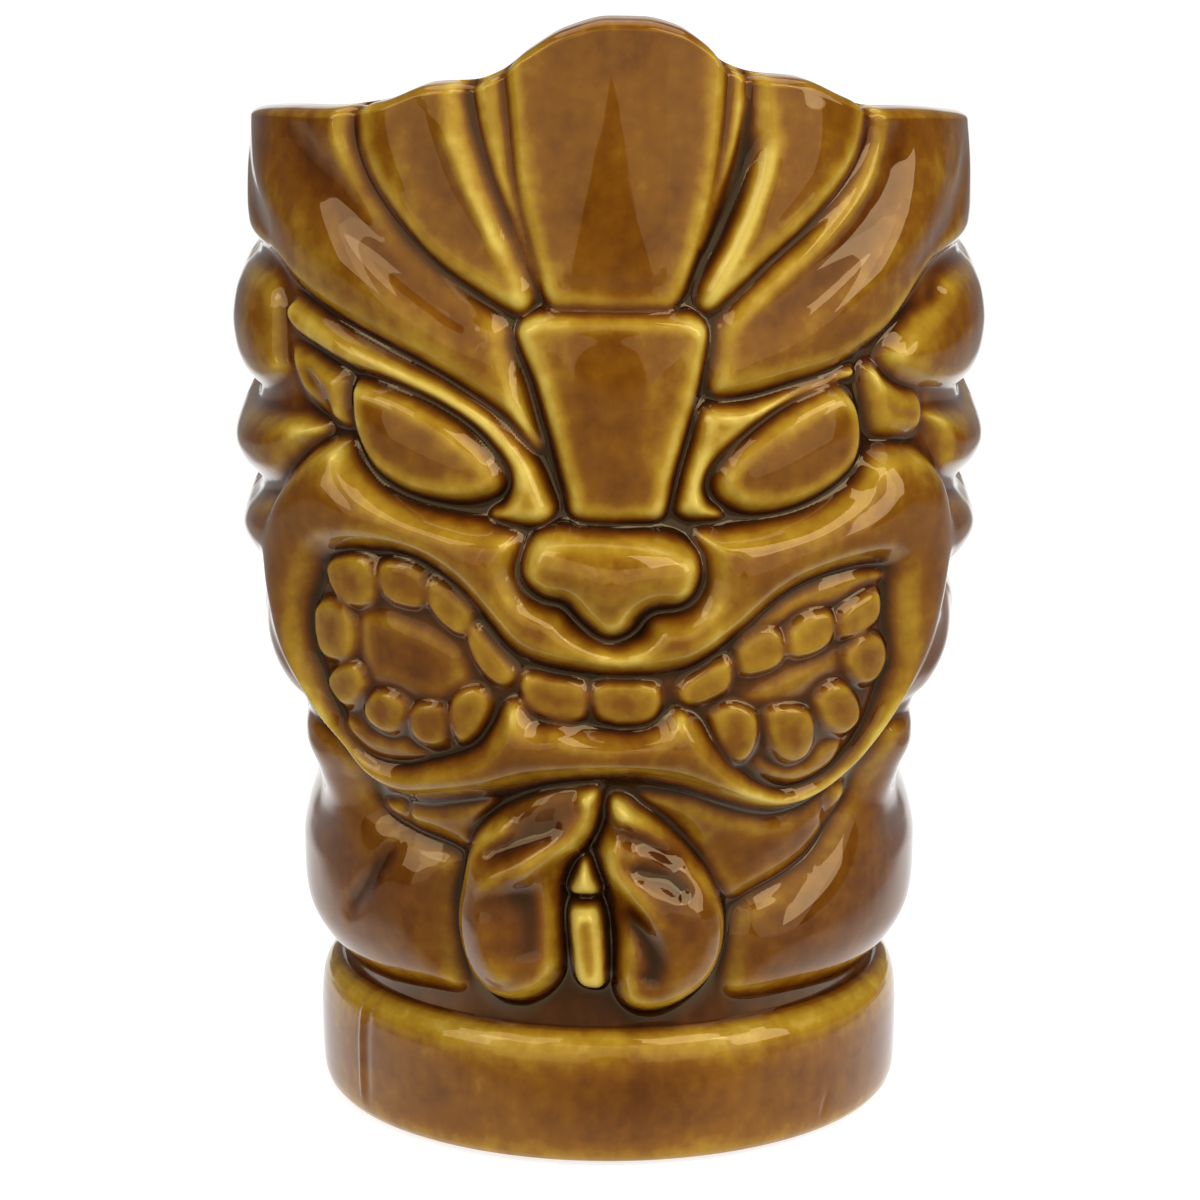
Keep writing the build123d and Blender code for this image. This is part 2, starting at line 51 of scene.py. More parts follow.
HALF_TURN = pi * GIRTH
STEP = 0.35                   # spacing of the sculpted grid
BACK_SKIP = 2                 # behind this place round the body only every second column is kept
BACK_START = 76.0

# Mean carved surface: height, half width, half depth, squareness of the rounded section
SECTIONS = np.array([
    (8, 39.5, 39.5, 2.0),
    (19, 39.5, 39.1, 2.0),
    (28, 40.3, 38.5, 2.1),
    (38, 40.0, 38.5, 2.15),
    (44, 39.6, 39.5, 2.2),
    (49, 40.8, 41.4, 2.3),
    (54, 43.4, 43.8, 2.4),
    (60, 45.5, 45.3, 2.45),
    (70, 46.8, 46.0, 2.5),
    (88, 47.6, 45.2, 2.48),
    (108, 47.5, 44.5, 2.4),
    (134, 46.5, 43.5, 2.3),
    (156, 45.0, 42.0, 2.3),
])
# Behind the cheeks the neck draws in: height, how much
NECK = np.array([
    (8, 0), (36, 0), (40, 0.6), (44, 1.4), (48, 2.0), (54, 3.0), (60, 3.0), (66, 2.2), (72, 1.0), (79, 0.2),
    (84, 0), (156, 0),
])
NECK_START, NECK_FADE = 45, 14    # the neck draws in from here round the body, over this distance
GROUND = -3.0                 # bottom of the grooves, from the mean surface
GLAZE_FILL = 0.46             # share of a narrow groove that the glaze fills
RIM_FILL = 0.35               # the glaze fills this much more of a groove near the rim
# Depth of the glaze, as a place in the colour ramp: level glaze, then what changes it
FLAT_GLAZE = 0.56
EDGE_THINNING = 0.15          # just inside a form's edge
GROOVE_POOLING = 0.54         # for each millimetre below the near surroundings
HOLLOW_POOLING = 0.10         # for each millimetre below the wider surroundings
LOWER_PAINTED_SHADE = 0.10               # painted shade: darker on the lower half, where less light falls
FLOOR_POOLING = 0.12          # on the floors between the forms
RIM_THINNING = 0.25           # in the grooves near the rim
MOUTH_BED = 0.9               # the mouth's floor stands this much over the bottom of the grooves
HAIR_BED = 1.4                # the gaps between the hair locks are this much shallower
BACKING = -3.1                # outside of the cup wall under the carved forms
INSIDE = -5.6                 # drink side of the cup wall
PLINTH_TOP = 18.6
LIP_ROUND = 1.5               # height of the rounded lip
LIP_ROWS = 9
ROWS = 370                    # rows of the sculpted grid
RIM_REACH = 2.6               # forms that end this near the rim run on over it

# Rim: place round the body, height of the top
RIM = np.array([
    (-144.5, 131.6), (-130, 130.8), (-112, 129.6), (-96, 130), (-84, 132.4), (-74, 134.4), (-64, 135.6),
    (-50, 137), (-38, 138), (-31, 139.2), (-24, 141.6), (-18.6, 142), (-15, 143.2), (-11, 146), (-6, 148.6),
    (0, 149.9), (5, 149.8), (9.5, 148.8), (13, 146.8), (16, 144.2), (20, 142.9), (26, 142.2), (32, 139.8),
    (37, 138), (46, 137.2), (56, 136), (66, 134.8), (74, 133.6), (84, 131.6), (96, 130), (112, 129.6),
    (130, 130.8), (144.5, 131.6),
])

CREST = {
    "crest_center": (0, [
        (-13, 144.5), (-12.5, 137.5), (-11.5, 129), (-9.5, 121.5), (-7.5, 115.8), (-4, 115),
        (5, 114.8), (8.3, 115.5), (10.5, 120), (12.8, 127), (14.3, 135), (15, 144.5), (12, 147.5),
        (8, 149.3), (3, 150), (-2.5, 149.7), (-8, 147.8),
    ]),
    "crest_rib_left": (-0.8, [
        (-18.2, 141), (-16, 142), (-14.8, 142), (-13.6, 136), (-12.5, 129), (-10.8, 122.3),
        (-9, 117.3), (-10.5, 119.3), (-13, 125.5), (-16.2, 133.5),
    ]),
    "crest_rib_right": (-0.8, [
        (16.6, 143), (18.2, 142.6), (18.2, 139.7), (16.8, 133.7), (14.5, 127.6), (12.4, 121.8),
        (12.3, 123), (13.7, 127.5), (15.2, 133.5), (16, 138.6),
    ]),
    "crest_inner_left": (0, [
        (-34, 137.8), (-30, 139.7), (-25, 141.8), (-21, 141.8), (-18.8, 137), (-15.6, 129),
        (-12.5, 122.5), (-10.2, 117.3), (-10.2, 115), (-12.2, 113.6), (-17.5, 116.5), (-23.5, 120.5),
        (-29, 126), (-32.8, 131), (-34.2, 135),
    ]),
    "crest_inner_right": (0, [
        (19.5, 142.3), (23.2, 142.5), (28.2, 141.9), (33, 139.6), (35.6, 137.5), (34.5, 133.5),
        (31.5, 129), (26, 123.8), (21, 120), (17.3, 116.8), (14.3, 114.2), (12.6, 114), (12, 115.7),
        (13, 118.3), (15.9, 123), (18.3, 129), (19.4, 135),
    ]),
    "crest_outer_left": (0.5, [
        (-35, 137.8), (-34.9, 134.7), (-33.4, 130), (-29.6, 125), (-24, 119.6), (-18, 115.2),
        (-13.6, 112.3), (-12.5, 109.5), (-11.3, 105), (-10, 100), (-8.9, 96.8), (-10, 97.2),
        (-14.5, 101.6), (-21.5, 105.8), (-28.7, 109), (-36, 111.6), (-44, 114.4), (-51, 117.2),
        (-60, 117.8), (-70, 118), (-77, 120.4), (-79, 126), (-76, 131.5), (-68, 134.5), (-55, 136.5),
        (-42, 138),
    ]),
    "crest_outer_right": (0.5, [
        (36.2, 137.5), (35.6, 134), (32.6, 129), (27, 123.5), (21.5, 119.2), (17.5, 115.6),
        (14.5, 112.8), (13.6, 109.9), (12.9, 105.6), (14, 103.2), (18.4, 103.6), (23.7, 104.7),
        (29, 105.8), (33.4, 107.6), (38.7, 110.3), (44.5, 114.6), (50, 117.2), (60, 117.8), (70, 118),
        (77, 120.4), (79, 126), (76, 131.5), (68, 134.5), (56, 136), (44, 137.5),
    ]),
    "back_crest": (1, [
        (82, 131), (81.5, 124), (84, 120), (92, 120), (106, 120.5), (118, 118), (130, 113.5),
        (144.5, 111), (159, 113.5), (171, 118), (183, 120.5), (197, 120), (205, 120), (207.5, 124),
        (207, 131), (196, 130), (178, 129), (160, 130.5), (144.5, 131.5), (129, 130.5), (111, 129),
        (93, 130),
    ]),
}

FACE = {
    "forehead_plate": (0.8, [
        (-12, 111.2), (-9.8, 113.5), (-6, 114), (1.4, 114.1), (7.6, 113.9), (11, 113.3), (12.8, 111.5),
        (12.2, 107.5), (11, 102.5), (9.6, 98), (8.2, 93.2), (7, 88.5), (3.9, 87.7), (-4, 88),
        (-5.6, 92), (-7.6, 99), (-9.6, 105.5),
    ]),
    "nose": (2.6, [
        (-10.2, 82), (-9.2, 84.8), (-7, 86.3), (-1, 86.6), (5.6, 85.9), (9.6, 84.2), (10.8, 81.8),
        (10, 78.8), (8.2, 77.4), (5.4, 77.2), (3.7, 76.2), (2.4, 74.5), (0.6, 73.6), (-1.3, 74),
        (-3.2, 75.8), (-5, 77.8), (-7.5, 78.3), (-9.5, 79.8),
    ]),
    "eyelid_left": (0.5, [
        (-44.5, 113.2), (-36, 110.4), (-28, 107.4), (-20.5, 104), (-14, 99.9), (-10, 95.6), (-8, 91.5),
        (-7.2, 88.8), (-9, 87.2), (-12.8, 87.5), (-15.2, 88.3), (-13.4, 89.6), (-12.4, 92),
        (-13.4, 95.2), (-17.2, 99.4), (-22.4, 102.4), (-28.3, 104.4), (-34.2, 105.6), (-40, 107.4),
        (-44.5, 108.8), (-46.5, 111),
    ]),
    "eyelid_right": (0.5, [
        (12.2, 101.8), (18.3, 102.1), (23.7, 103.4), (29.5, 104.8), (32.3, 105.6), (32.6, 104.6),
        (29.6, 104.2), (23.9, 102.5), (19.3, 100), (15.5, 97), (13, 94.3), (12, 91.6), (12.9, 89.4),
        (14.6, 88.2), (12, 87.9), (10, 88.2), (8.8, 89.5), (9.6, 93.4), (11, 98),
    ]),
    "eye_left": (0.5, [
        (-33.3, 103.7), (-28.6, 103.5), (-23.7, 101.8), (-19.2, 99.2), (-15.4, 96.2), (-13.8, 94),
        (-13.8, 92.2), (-15.6, 90.8), (-19.7, 90), (-25.5, 90.8), (-30.2, 93.2), (-33, 97.2),
        (-33.8, 101),
    ]),
    "eye_right": (0.5, [
        (13.8, 92.7), (14.7, 95.2), (17.5, 97.7), (22, 100.6), (26.6, 102.7), (30.1, 103.3),
        (32.4, 101), (33, 97), (32, 93.8), (28.7, 91.2), (23.8, 89.2), (18.7, 88.7), (15.3, 90),
    ]),
    "temple_left": (0, [
        (-45.6, 107), (-40.4, 105.8), (-35.8, 104.4), (-35.1, 102), (-34.9, 98.4), (-37, 98.1),
        (-40.1, 99.5), (-43.2, 101), (-45, 103), (-46, 105),
    ]),
    "temple_right": (0, [
        (34.4, 104.6), (36, 105.4), (38, 103.4), (40.5, 102), (44, 101), (44.8, 98.6), (43.6, 96),
        (39.4, 96), (36.2, 97), (35, 99.5),
    ]),
}

HAIR = {
    "lock_left_1": (1, [
        (-52, 116), (-47.5, 113), (-46.8, 109.5), (-46.6, 105.8), (-46, 103), (-50, 100.6),
        (-56, 99.4), (-66, 98.8), (-82, 100.8), (-100, 108), (-114, 114), (-117, 117), (-112, 118.3),
        (-100, 118.6), (-86, 118), (-70, 116.2),
    ]),
    "lock_left_2": (1, [
        (-45, 98.6), (-41, 98), (-38.8, 97), (-41.5, 94.2), (-46.3, 89.4), (-54, 87.6),
        (-66, 86.5), (-80, 87.6), (-98, 92.6), (-114, 100), (-118, 105), (-118, 110), (-113, 111.4),
        (-100, 105.6), (-82, 99.2), (-66, 97.2), (-54, 97.8),
    ]),
    "lock_left_3": (0.6, [
        (-44.2, 87.6), (-43.6, 84), (-45.5, 77), (-58, 75.6), (-68, 75), (-82, 76), (-98, 80),
        (-114, 87.5), (-119, 92.5), (-119, 100.5), (-114, 98), (-98, 90.6), (-80, 85.8), (-66, 84.9),
        (-56, 86),
    ]),
    "lock_left_4": (0.2, [
        (-44.6, 75), (-44.4, 71), (-41.2, 63), (-46, 59.6), (-64, 60), (-80, 60.5), (-98, 64.5),
        (-114, 72.5), (-119.5, 78), (-119, 88.6), (-114, 85.5), (-98, 78), (-82, 74.2), (-68, 73.4),
        (-57, 74),
    ]),
    "lock_right_1": (1, [
        (52, 116), (47.5, 113.2), (42, 110.6), (38.4, 108.2), (37.4, 106.2), (38.8, 104.2),
        (41.6, 102.4), (46.5, 100.8), (56, 99.4), (66, 98.8), (82, 100.8), (100, 108), (114, 114),
        (117, 117), (112, 118.3), (100, 118.6), (86, 118), (70, 116.2),
    ]),
    "lock_right_2": (1, [
        (47, 98.8), (43.4, 98.4), (45.4, 96.6), (46.6, 93.4), (47.8, 90), (54, 88), (66, 86.5),
        (80, 87.6), (98, 92.6), (114, 100), (118, 105), (118, 110), (113, 111.4), (100, 105.6),
        (82, 99.2), (66, 97.2), (54, 97.8),
    ]),
    "lock_right_3": (0.6, [
        (43.6, 87.6), (43.4, 83), (45, 77), (58, 75.6), (68, 75), (82, 76), (98, 80), (114, 87.5),
        (119, 92.5), (119, 100.5), (114, 98), (98, 90.6), (80, 85.8), (66, 84.9), (56, 86),
    ]),
    "lock_right_4": (0.2, [
        (43.8, 75), (42.4, 71), (39.2, 63), (44, 59.6), (64, 60), (80, 60.5), (98, 64.5), (114, 72.5),
        (119.5, 78), (119, 88.6), (114, 85.5), (98, 78), (82, 74.2), (68, 73.4), (57, 74),
    ]),
    "back_panel": (1.2, [
        (121, 113.5), (121, 100), (121.5, 80), (124, 66), (132, 60), (144.5, 58.5), (157, 60),
        (165, 66), (167.5, 80), (168, 100), (168, 113.5), (160, 111.5), (144.5, 109), (129, 111.5),
    ]),
}

MOUTH_PARTS = {
    "tongue_left": (-1.5, [
        (-32.7, 73.6), (-30, 74.8), (-26.4, 74.2), (-21.8, 72.6), (-19.2, 70.4), (-18.2, 67.4),
        (-18, 66.3), (-20.2, 65.3), (-22, 63.9), (-25, 64), (-28, 65), (-31, 65.3), (-32.2, 67),
        (-33, 70),
    ]),
    "tongue_right": (-1.5, [
        (17.5, 64.6), (20, 66.6), (24, 68.3), (27.5, 69.3), (30, 70), (30, 68), (30, 66.6), (27.5, 66),
        (25.5, 64.2), (23, 63.6), (20, 63.6),
    ]),
    "tooth_upper_left_1": (-0.5, [
        (-37.7, 79), (-35.8, 80.6), (-32.5, 81.2), (-30.6, 79.6), (-30.8, 76.6), (-33, 75.4),
        (-36.1, 76),
    ]),
    "tooth_upper_left_2": (-0.5, [
        (-29.3, 80.6), (-26.6, 81.2), (-24, 80.2), (-24, 76.6), (-26.2, 76.2), (-28.8, 77.2),
    ]),
    "tooth_upper_left_3": (-0.5, [
        (-22.5, 79.3), (-20, 78.3), (-17.5, 76), (-18, 74.2), (-19, 73.2), (-21, 74.4), (-22.7, 76.6),
    ]),
    "tooth_upper_left_4": (-0.5, [
        (-16.9, 73.9), (-15.4, 72.4), (-13.6, 70.2), (-12.3, 68.2), (-13.7, 66.9), (-15.4, 67.8),
        (-16.8, 69.8), (-17.6, 72),
    ]),
    "tooth_side_left": (-0.5, [
        (-40.2, 73), (-37.5, 74.7), (-34.9, 74.2), (-34, 71), (-34.8, 68.4), (-37.5, 67.6),
        (-39.8, 68.5),
    ]),
    "tooth_lower_left_1": (-0.5, [
        (-38.6, 64.3), (-36, 66.4), (-33.6, 66.8), (-32.6, 64.8), (-33.8, 62.9), (-36.2, 61.4),
        (-38, 62.5),
    ]),
    "tooth_lower_left_2": (-0.5, [
        (-32.8, 61), (-31.2, 63.4), (-28.8, 63.8), (-26.8, 62.6), (-27.4, 60.4), (-29.3, 58.8),
        (-31.6, 59.3),
    ]),
    "tooth_lower_left_3": (-0.5, [
        (-25.6, 62), (-23.6, 63), (-21.6, 62.7), (-21.4, 60), (-22, 58.4), (-24.2, 57.9), (-25.8, 59),
    ]),
    "tooth_lower_left_4": (-0.5, [
        (-19.8, 64), (-17.9, 65.4), (-16.2, 65.2), (-15.9, 63), (-17.3, 60.3), (-19.4, 58.9),
        (-20.3, 61.4),
    ]),
    "tooth_front_left": (-0.5, [
        (-10.5, 67.6), (-7, 67.2), (-3.6, 66.5), (-3.3, 63.6), (-4.7, 62.4), (-7.9, 62.8), (-10.3, 64.4),
    ]),
    "tooth_front_right": (-0.5, [
        (-1.6, 66.2), (2, 66.6), (5.7, 66.2), (6, 63.8), (4.6, 62.2), (1.1, 62), (-1.2, 63.2),
    ]),
    "tooth_upper_right_1": (-0.5, [
        (9.3, 66.2), (12, 68.3), (14.7, 69.6), (15.2, 68), (14.8, 66), (12.8, 64.9), (10.4, 64.4),
    ]),
    "tooth_upper_right_2": (-0.5, [
        (16.6, 71.2), (18.7, 72.8), (21, 73), (21.9, 71.2), (21.6, 69.2), (19.4, 68.2), (17, 68.3),
    ]),
    "tooth_upper_right_3": (-0.5, [
        (23.2, 73), (25.3, 74.6), (28.1, 74.6), (28.6, 72.8), (28, 70.9), (25.5, 69.9), (23.1, 70.3),
    ]),
    "tooth_upper_right_4": (-0.5, [
        (30.1, 74.4), (32.8, 75.9), (35.3, 76.4), (35.9, 74.6), (35.4, 72.9), (33, 71.8), (30.2, 71.8),
    ]),
    "tooth_side_right": (-0.5, [
        (31, 68.2), (32, 70.1), (33.9, 70.8), (36.4, 69.8), (37.2, 67.2), (35.9, 65), (33.3, 65.2),
    ]),
    "tooth_lower_right_4": (-0.5, [
        (27.4, 63), (29.4, 64.8), (31.4, 64.2), (33.4, 61.9), (33.8, 59.6), (31.8, 58.3), (29.2, 59.8),
    ]),
    "tooth_lower_right_3": (-0.5, [
        (20.6, 61.9), (23, 62.5), (25.9, 61.6), (26.9, 58.8), (26.7, 56.2), (24.5, 55.4), (21.9, 57.6),
    ]),
    "tooth_lower_right_2": (-0.5, [
        (13.7, 62.2), (15.7, 63.4), (18.4, 62.2), (19, 59.7), (18.4, 57), (16.8, 56.4), (14.6, 59),
    ]),
    "gum_lower_left": (-1.2, [
        (-36.6, 59.3), (-34.7, 58.9), (-33, 57.8), (-30, 57.6), (-27.8, 57.6), (-26.6, 56.8),
        (-25.2, 56.2), (-28, 55), (-32.6, 54.6), (-35.4, 55.6), (-37.2, 57.4),
    ]),
    "gum_lower_right": (-1.2, [
        (20.2, 55.9), (22.3, 54.9), (25, 54.1), (27.6, 54.6), (29, 56.6), (31, 57.2), (32.4, 56.4),
        (32, 54), (29.8, 52.4), (26.6, 51.6), (23.2, 52.8), (20.9, 54.4),
    ]),
    "gum_upper_right": (-1.2, [
        (16.6, 72), (18.2, 74), (23.4, 77.4), (30.1, 79.2), (35.6, 79), (36.6, 78), (32.8, 77.2), (29.5, 76),
        (25, 75.5), (21.8, 74), (19, 73.3), (17.6, 72.2),
    ]),
}

TORSO = {
    "arm_left": (1, [
        (-41.5, 55.5), (-39, 51.5), (-39.6, 47.7), (-38.2, 44.9), (-31.3, 42.4), (-24.6, 40.6),
        (-25.2, 35), (-25, 27.5), (-24.6, 22.6), (-32, 22), (-45, 21.4), (-60, 21.8), (-74, 25),
        (-85, 31), (-91, 39), (-90, 49), (-82, 56), (-68, 57.8), (-52, 58.2),
    ]),
    "arm_right": (1, [
        (42.3, 57), (41, 52), (40.6, 47), (38, 43), (34, 39.8), (28, 37), (22, 35), (19.6, 31),
        (18.8, 25), (21, 22), (32, 21.6), (46, 21.2), (60, 21.8), (74, 25), (85, 31), (91, 39),
        (90, 49), (82, 56), (68, 57.8), (52, 58.2),
    ]),
    "hand_left": (4.6, [
        (-22.8, 40), (-20.4, 45), (-15.6, 48.6), (-10, 51.4), (-5, 52.7), (-1.6, 52.8), (-1, 50.4),
        (-1.6, 47), (-3.6, 43.8), (-6, 41), (-7.2, 37.2), (-6.8, 32.6), (-7.1, 27.4), (-9.6, 24),
        (-14, 22.2), (-18.6, 22.8), (-22.2, 26.4), (-24, 33),
    ]),
    "hand_right": (4.6, [
        (0, 51), (2, 51.2), (5.1, 49.2), (8.4, 46.8), (12, 43.6), (15.8, 39.4), (18.2, 34.6),
        (18, 29.4), (15.6, 25), (10.6, 22), (5.5, 21.3), (2, 22.8), (0.7, 26.8), (0.8, 32.7), (-0.1, 37),
        (-1.2, 40.8), (-1.8, 44), (-0.6, 47.5),
    ]),
    "thumb_upper": (3, [
        (-5, 41), (-3.6, 42.6), (-2.2, 40.8), (-1.2, 37.9), (-3.4, 37.3), (-6, 37.9),
    ]),
    "thumb_lower": (3.4, [
        (-6, 35.4), (-4.1, 36.7), (-1.4, 36.2), (-0.4, 31.6), (-0.5, 25.6), (-2.6, 24.8), (-5, 26),
        (-5.8, 31),
    ]),
    "chest_left": (-0.6, [
        (-38.2, 46.4), (-33.3, 47.4), (-26, 48.2), (-20, 49.2), (-16.5, 50.2), (-18.6, 47.9),
        (-21, 45), (-22, 42.4), (-28.7, 43.4), (-33.5, 44), (-37.2, 45.2),
    ]),
    "chest_right": (-0.6, [
        (4.6, 51.4), (11, 50.8), (18, 48.2), (25.5, 46.2), (32, 47.3), (36.4, 49.5), (39.4, 48.6),
        (38.8, 45.4), (35.3, 41.6), (31.4, 39), (24.2, 36.6), (20.3, 35.6), (17, 37.6), (12.8, 43.6),
        (9, 47.6), (6, 49.8),
    ]),
}

# Lips, and the open mouth inside them
LIPS = [
    (-34.3, 96), (-32.4, 93.5), (-29.8, 91.3), (-25.2, 89), (-19, 87.6), (-14.3, 87), (-11.2, 85.5),
    (-11.4, 81.6), (-9.8, 78.3), (-6.2, 76.4), (-3.8, 74.2), (0.6, 72.2), (4, 73.2), (5.8, 75.4),
    (9.7, 76.4), (11.8, 79.4), (11.8, 83.5), (11.3, 86), (14.5, 86.4), (19.9, 86.9), (25.4, 88.1),
    (31, 90.9), (34, 94.2), (38.4, 95.2), (44, 93.6), (48.4, 89.6), (50.4, 83.2), (49.6, 75.4),
    (46.2, 67.6), (41, 59.6), (36.8, 53.2), (32, 48.8), (25.6, 47.6), (17.7, 49.5), (10.4, 52.4),
    (3.9, 53.9), (-2.4, 54), (-8.8, 53.2), (-15.5, 51.4), (-23, 49.6), (-29.7, 48.5), (-34.6, 50),
    (-39, 55), (-43.8, 60.9), (-48, 66.2), (-51.4, 73.5), (-51.6, 80.8), (-48, 87.6), (-41.5, 93.5),
    (-37, 96),
]
MOUTH = [
    (-38.7, 80.2), (-35.3, 82.2), (-29, 82.9), (-23.7, 81.9), (-19.2, 79), (-15.4, 74.9), (-12, 71.1),
    (-7.4, 69.2), (0.1, 68.2), (6.4, 68.4), (11.3, 69.6), (16.8, 73.5), (23.2, 78.4), (30.7, 80.4),
    (37, 79.7), (37.7, 73.9), (38.4, 67.1), (37.5, 61.1), (35.2, 55.6), (31.4, 51.9), (25.6, 50.5),
    (19.6, 53), (14.9, 57.3), (11.4, 62), (8.9, 63.5), (6.4, 61.6), (2, 60.6), (-2.4, 60.8),
    (-6.2, 61.9), (-9.3, 62.1), (-11.2, 64.7), (-13.3, 64.1), (-15, 60.8), (-17.9, 57.5),
    (-23.7, 55.2), (-30.1, 53.9), (-36.2, 55.8), (-39, 60.9), (-41.8, 67.1), (-41.9, 73),
]

# How each kind of form is modelled: width of its rounded shoulder, crown in its middle
SHOULDERS = {
    "crest_center": (2.2, 0.3), "crest_inner": (3.0, 0.5), "crest_outer": (4.0, 0.5), "crest_rib": (1.6, 0.2),
    "back_crest": (4.0, 0.6), "forehead": (2.4, 0.5), "nose": (4.8, 1.8), "eyelid": (2.6, 0.3),
    "eye_": (2.8, 0.6), "temple": (3.0, 0.0), "lock": (6.0, 1.6), "back_panel": (5.0, 0.8),
    "tooth": (0.8, 0.1), "gum": (1.6, 0.2), "tongue": (3.0, 0.4), "arm": (9.0, 0.9), "hand": (6.5, 0.6),
    "thumb": (2.4, 0.5), "chest": (4.0, 0.2), "lips": (5.8, 0.9),
}


# ---------------------------------------------------------------- surface

def resample(table, column, where):
    """Smooth (monotone cubic) reading of one column of a table at many places."""
    x, y = table[:, 0], table[:, column]
    gap, rise = np.diff(x), np.diff(y) / np.diff(x)
    slope = np.zeros_like(y)
    same = rise[1:] * rise[:-1] > 0
    slope[1:-1][same] = 2 * rise[1:][same] * rise[:-1][same] / (rise[1:][same] + rise[:-1][same])
    slope[0], slope[-1] = rise[0], rise[-1]
    where = np.clip(where, x[0], x[-1])
    cell = np.clip(np.searchsorted(x, where) - 1, 0, len(x) - 2)
    t = (where - x[cell]) / gap[cell]
    start, end = y[cell], y[cell + 1]
    turn = slope[cell] * gap[cell]
    exit_turn = slope[cell + 1] * gap[cell]
    return (start * (2 * t**3 - 3 * t**2 + 1) + turn * (t**3 - 2 * t**2 + t)
            + end * (3 * t**2 - 2 * t**3) + exit_turn * (t**3 - t**2))


def mean_radius(around, height):
    """Radius of the mean carved surface at places of the drawing."""
    half_width, half_depth, squareness = (resample(SECTIONS, column, height) for column in (1, 2, 3))
    azimuth = around / GIRTH
    across = np.abs(np.sin(azimuth)) / half_width
    along = np.abs(np.cos(azimuth)) / half_depth
    behind = np.clip((np.abs(around) - NECK_START) / NECK_FADE, 0, 1)
    neck = resample(NECK, 1, height) * behind**2 * (3 - 2 * behind)
    return (across**squareness + along**squareness) ** (-1 / squareness) - neck


def place(around, height, level):
    """Points in metres at places of the drawing, level millimetres off the mean surface."""
    radius = mean_radius(around, height) + level
    azimuth = around / GIRTH
    return np.stack([radius * np.sin(azimuth), -radius * np.cos(azimuth), height + 0 * radius], -1) * MM


def smooth(outline, steps=4, closed=True):
    """Curve through the points of an outline or of a stroke (Catmull-Rom)."""
    points = np.array(outline, float)
    if closed:
        before, end, after = np.roll(points, 1, 0), np.roll(points, -1, 0), np.roll(points, -2, 0)
        start = points
    else:
        padded = np.vstack([2 * points[0] - points[1], points, 2 * points[-1] - points[-2]])
        before, start, end, after = padded[:-3], padded[1:-2], padded[2:-1], padded[3:]
    curve = []
    for t in np.arange(steps) / steps:
        curve.append((2 * start + (end - before) * t + (2 * before - 5 * start + 4 * end - after) * t**2
                      + (3 * start - before - 3 * end + after) * t**3) / 2)
    curve = np.stack(curve, 1).reshape(-1, 2)
    return curve if closed else np.vstack([curve, points[-1:]])


def distance_to(curve, x, y, closed=True, weights=None):
    """Distance from points to a polyline, and whether each point lies inside it.

    With weights for its corners, the second result is the weight at the nearest place instead.
    """
    ends = np.roll(curve, -1, 0) if closed else curve[1:]
    starts = curve if closed else curve[:-1]
    nearest = np.full(x.shape, 1e9)
    inside = np.zeros(x.shape, bool)
    weight = np.ones(x.shape)
    for index, ((x0, y0), (x1, y1)) in enumerate(zip(starts, ends)):
        dx, dy = x1 - x0, y1 - y0
        length = dx * dx + dy * dy
        if length == 0:
            continue
        t = np.clip(((x - x0) * dx + (y - y0) * dy) / length, 0, 1)
        squared = (x - x0 - t * dx) ** 2 + (y - y0 - t * dy) ** 2
        if weights is not None:
            weight = np.where(squared < nearest, weights[index] * (1 - t) + weights[index + 1] * t, weight)
        nearest = np.minimum(nearest, squared)
        if closed and y0 != y1:
            crosses = (y0 > y) != (y1 > y)
            inside ^= crosses & (x < x0 + (y - y0) * dx / dy)
    return np.sqrt(nearest), inside if weights is None else weight


def blur(field, radius):
    """Soft average over a radius in millimetres; the drawing closes round the body."""
    reach = int(np.ceil(2.5 * radius / STEP))
    weights = np.exp(-0.5 * (np.arange(-reach, reach + 1) * STEP / radius) ** 2)
    weights /= weights.sum()
    for axis in (1, 0):
        mode = "wrap" if axis == 1 else "edge"
        pad = [(0, 0), (reach, reach)] if axis == 1 else [(reach, reach), (0, 0)]
        padded = np.pad(field, pad, mode=mode)
        total = np.zeros_like(field)
        for shift, weight in enumerate(weights):
            window = (slice(None), slice(shift, shift + field.shape[1]))
            if axis == 0:
                window = (slice(shift, shift + field.shape[0]), slice(None))
            total += weight * padded[window]
        field = total
    return field


# ---------------------------------------------------------------- height field

columns = int(round(2 * HALF_TURN / STEP))
around = -HALF_TURN + 2 * HALF_TURN * np.arange(columns) / columns
rim = resample(RIM, 1, around)
share = np.linspace(0, 1, ROWS)[:, None]
height = PLINTH_TOP + share * (rim[None, :] - LIP_ROUND - PLINTH_TOP)
grid_u = np.broadcast_to(around[None, :], height.shape)

CARVED = {**CREST, **FACE, **HAIR, **MOUTH_PARTS, **TORSO}
# The glaze thickens these forms by a share of their size
THICKENED = {"tooth": 1.12, "tongue": 1.08, "gum": 1.05, "nose": 1.09, "crest_center": 1.05, "eye_": 1.02}


def window_of(curve, margin):
    """Columns and rows of the grid near a curve, and the drawing coordinates there."""
    low, high = curve.min(0) - margin, curve.max(0) + margin
    first, last = int(np.floor((low[0] + HALF_TURN) / STEP)), int(np.ceil((high[0] + HALF_TURN) / STEP))
    index = np.arange(first, last + 1) % columns
    u = around[index] + 2 * HALF_TURN * (np.arange(first, last + 1) // columns)
    z = height[:, index]
    keep = (z > low[1]).any(1) & (z < high[1]).any(1)
    picked = np.nonzero(keep)[0]
    return np.ix_(picked, index), np.broadcast_to(u[None, :], z[picked].shape), z[picked]


def shoulder(distance, width):
    """Rounded rise from 0 outside a form to 1 on its top."""
    t = np.clip(distance / width, 0, 1)
    return (1 - (1 - t) ** 2.4) ** 0.85


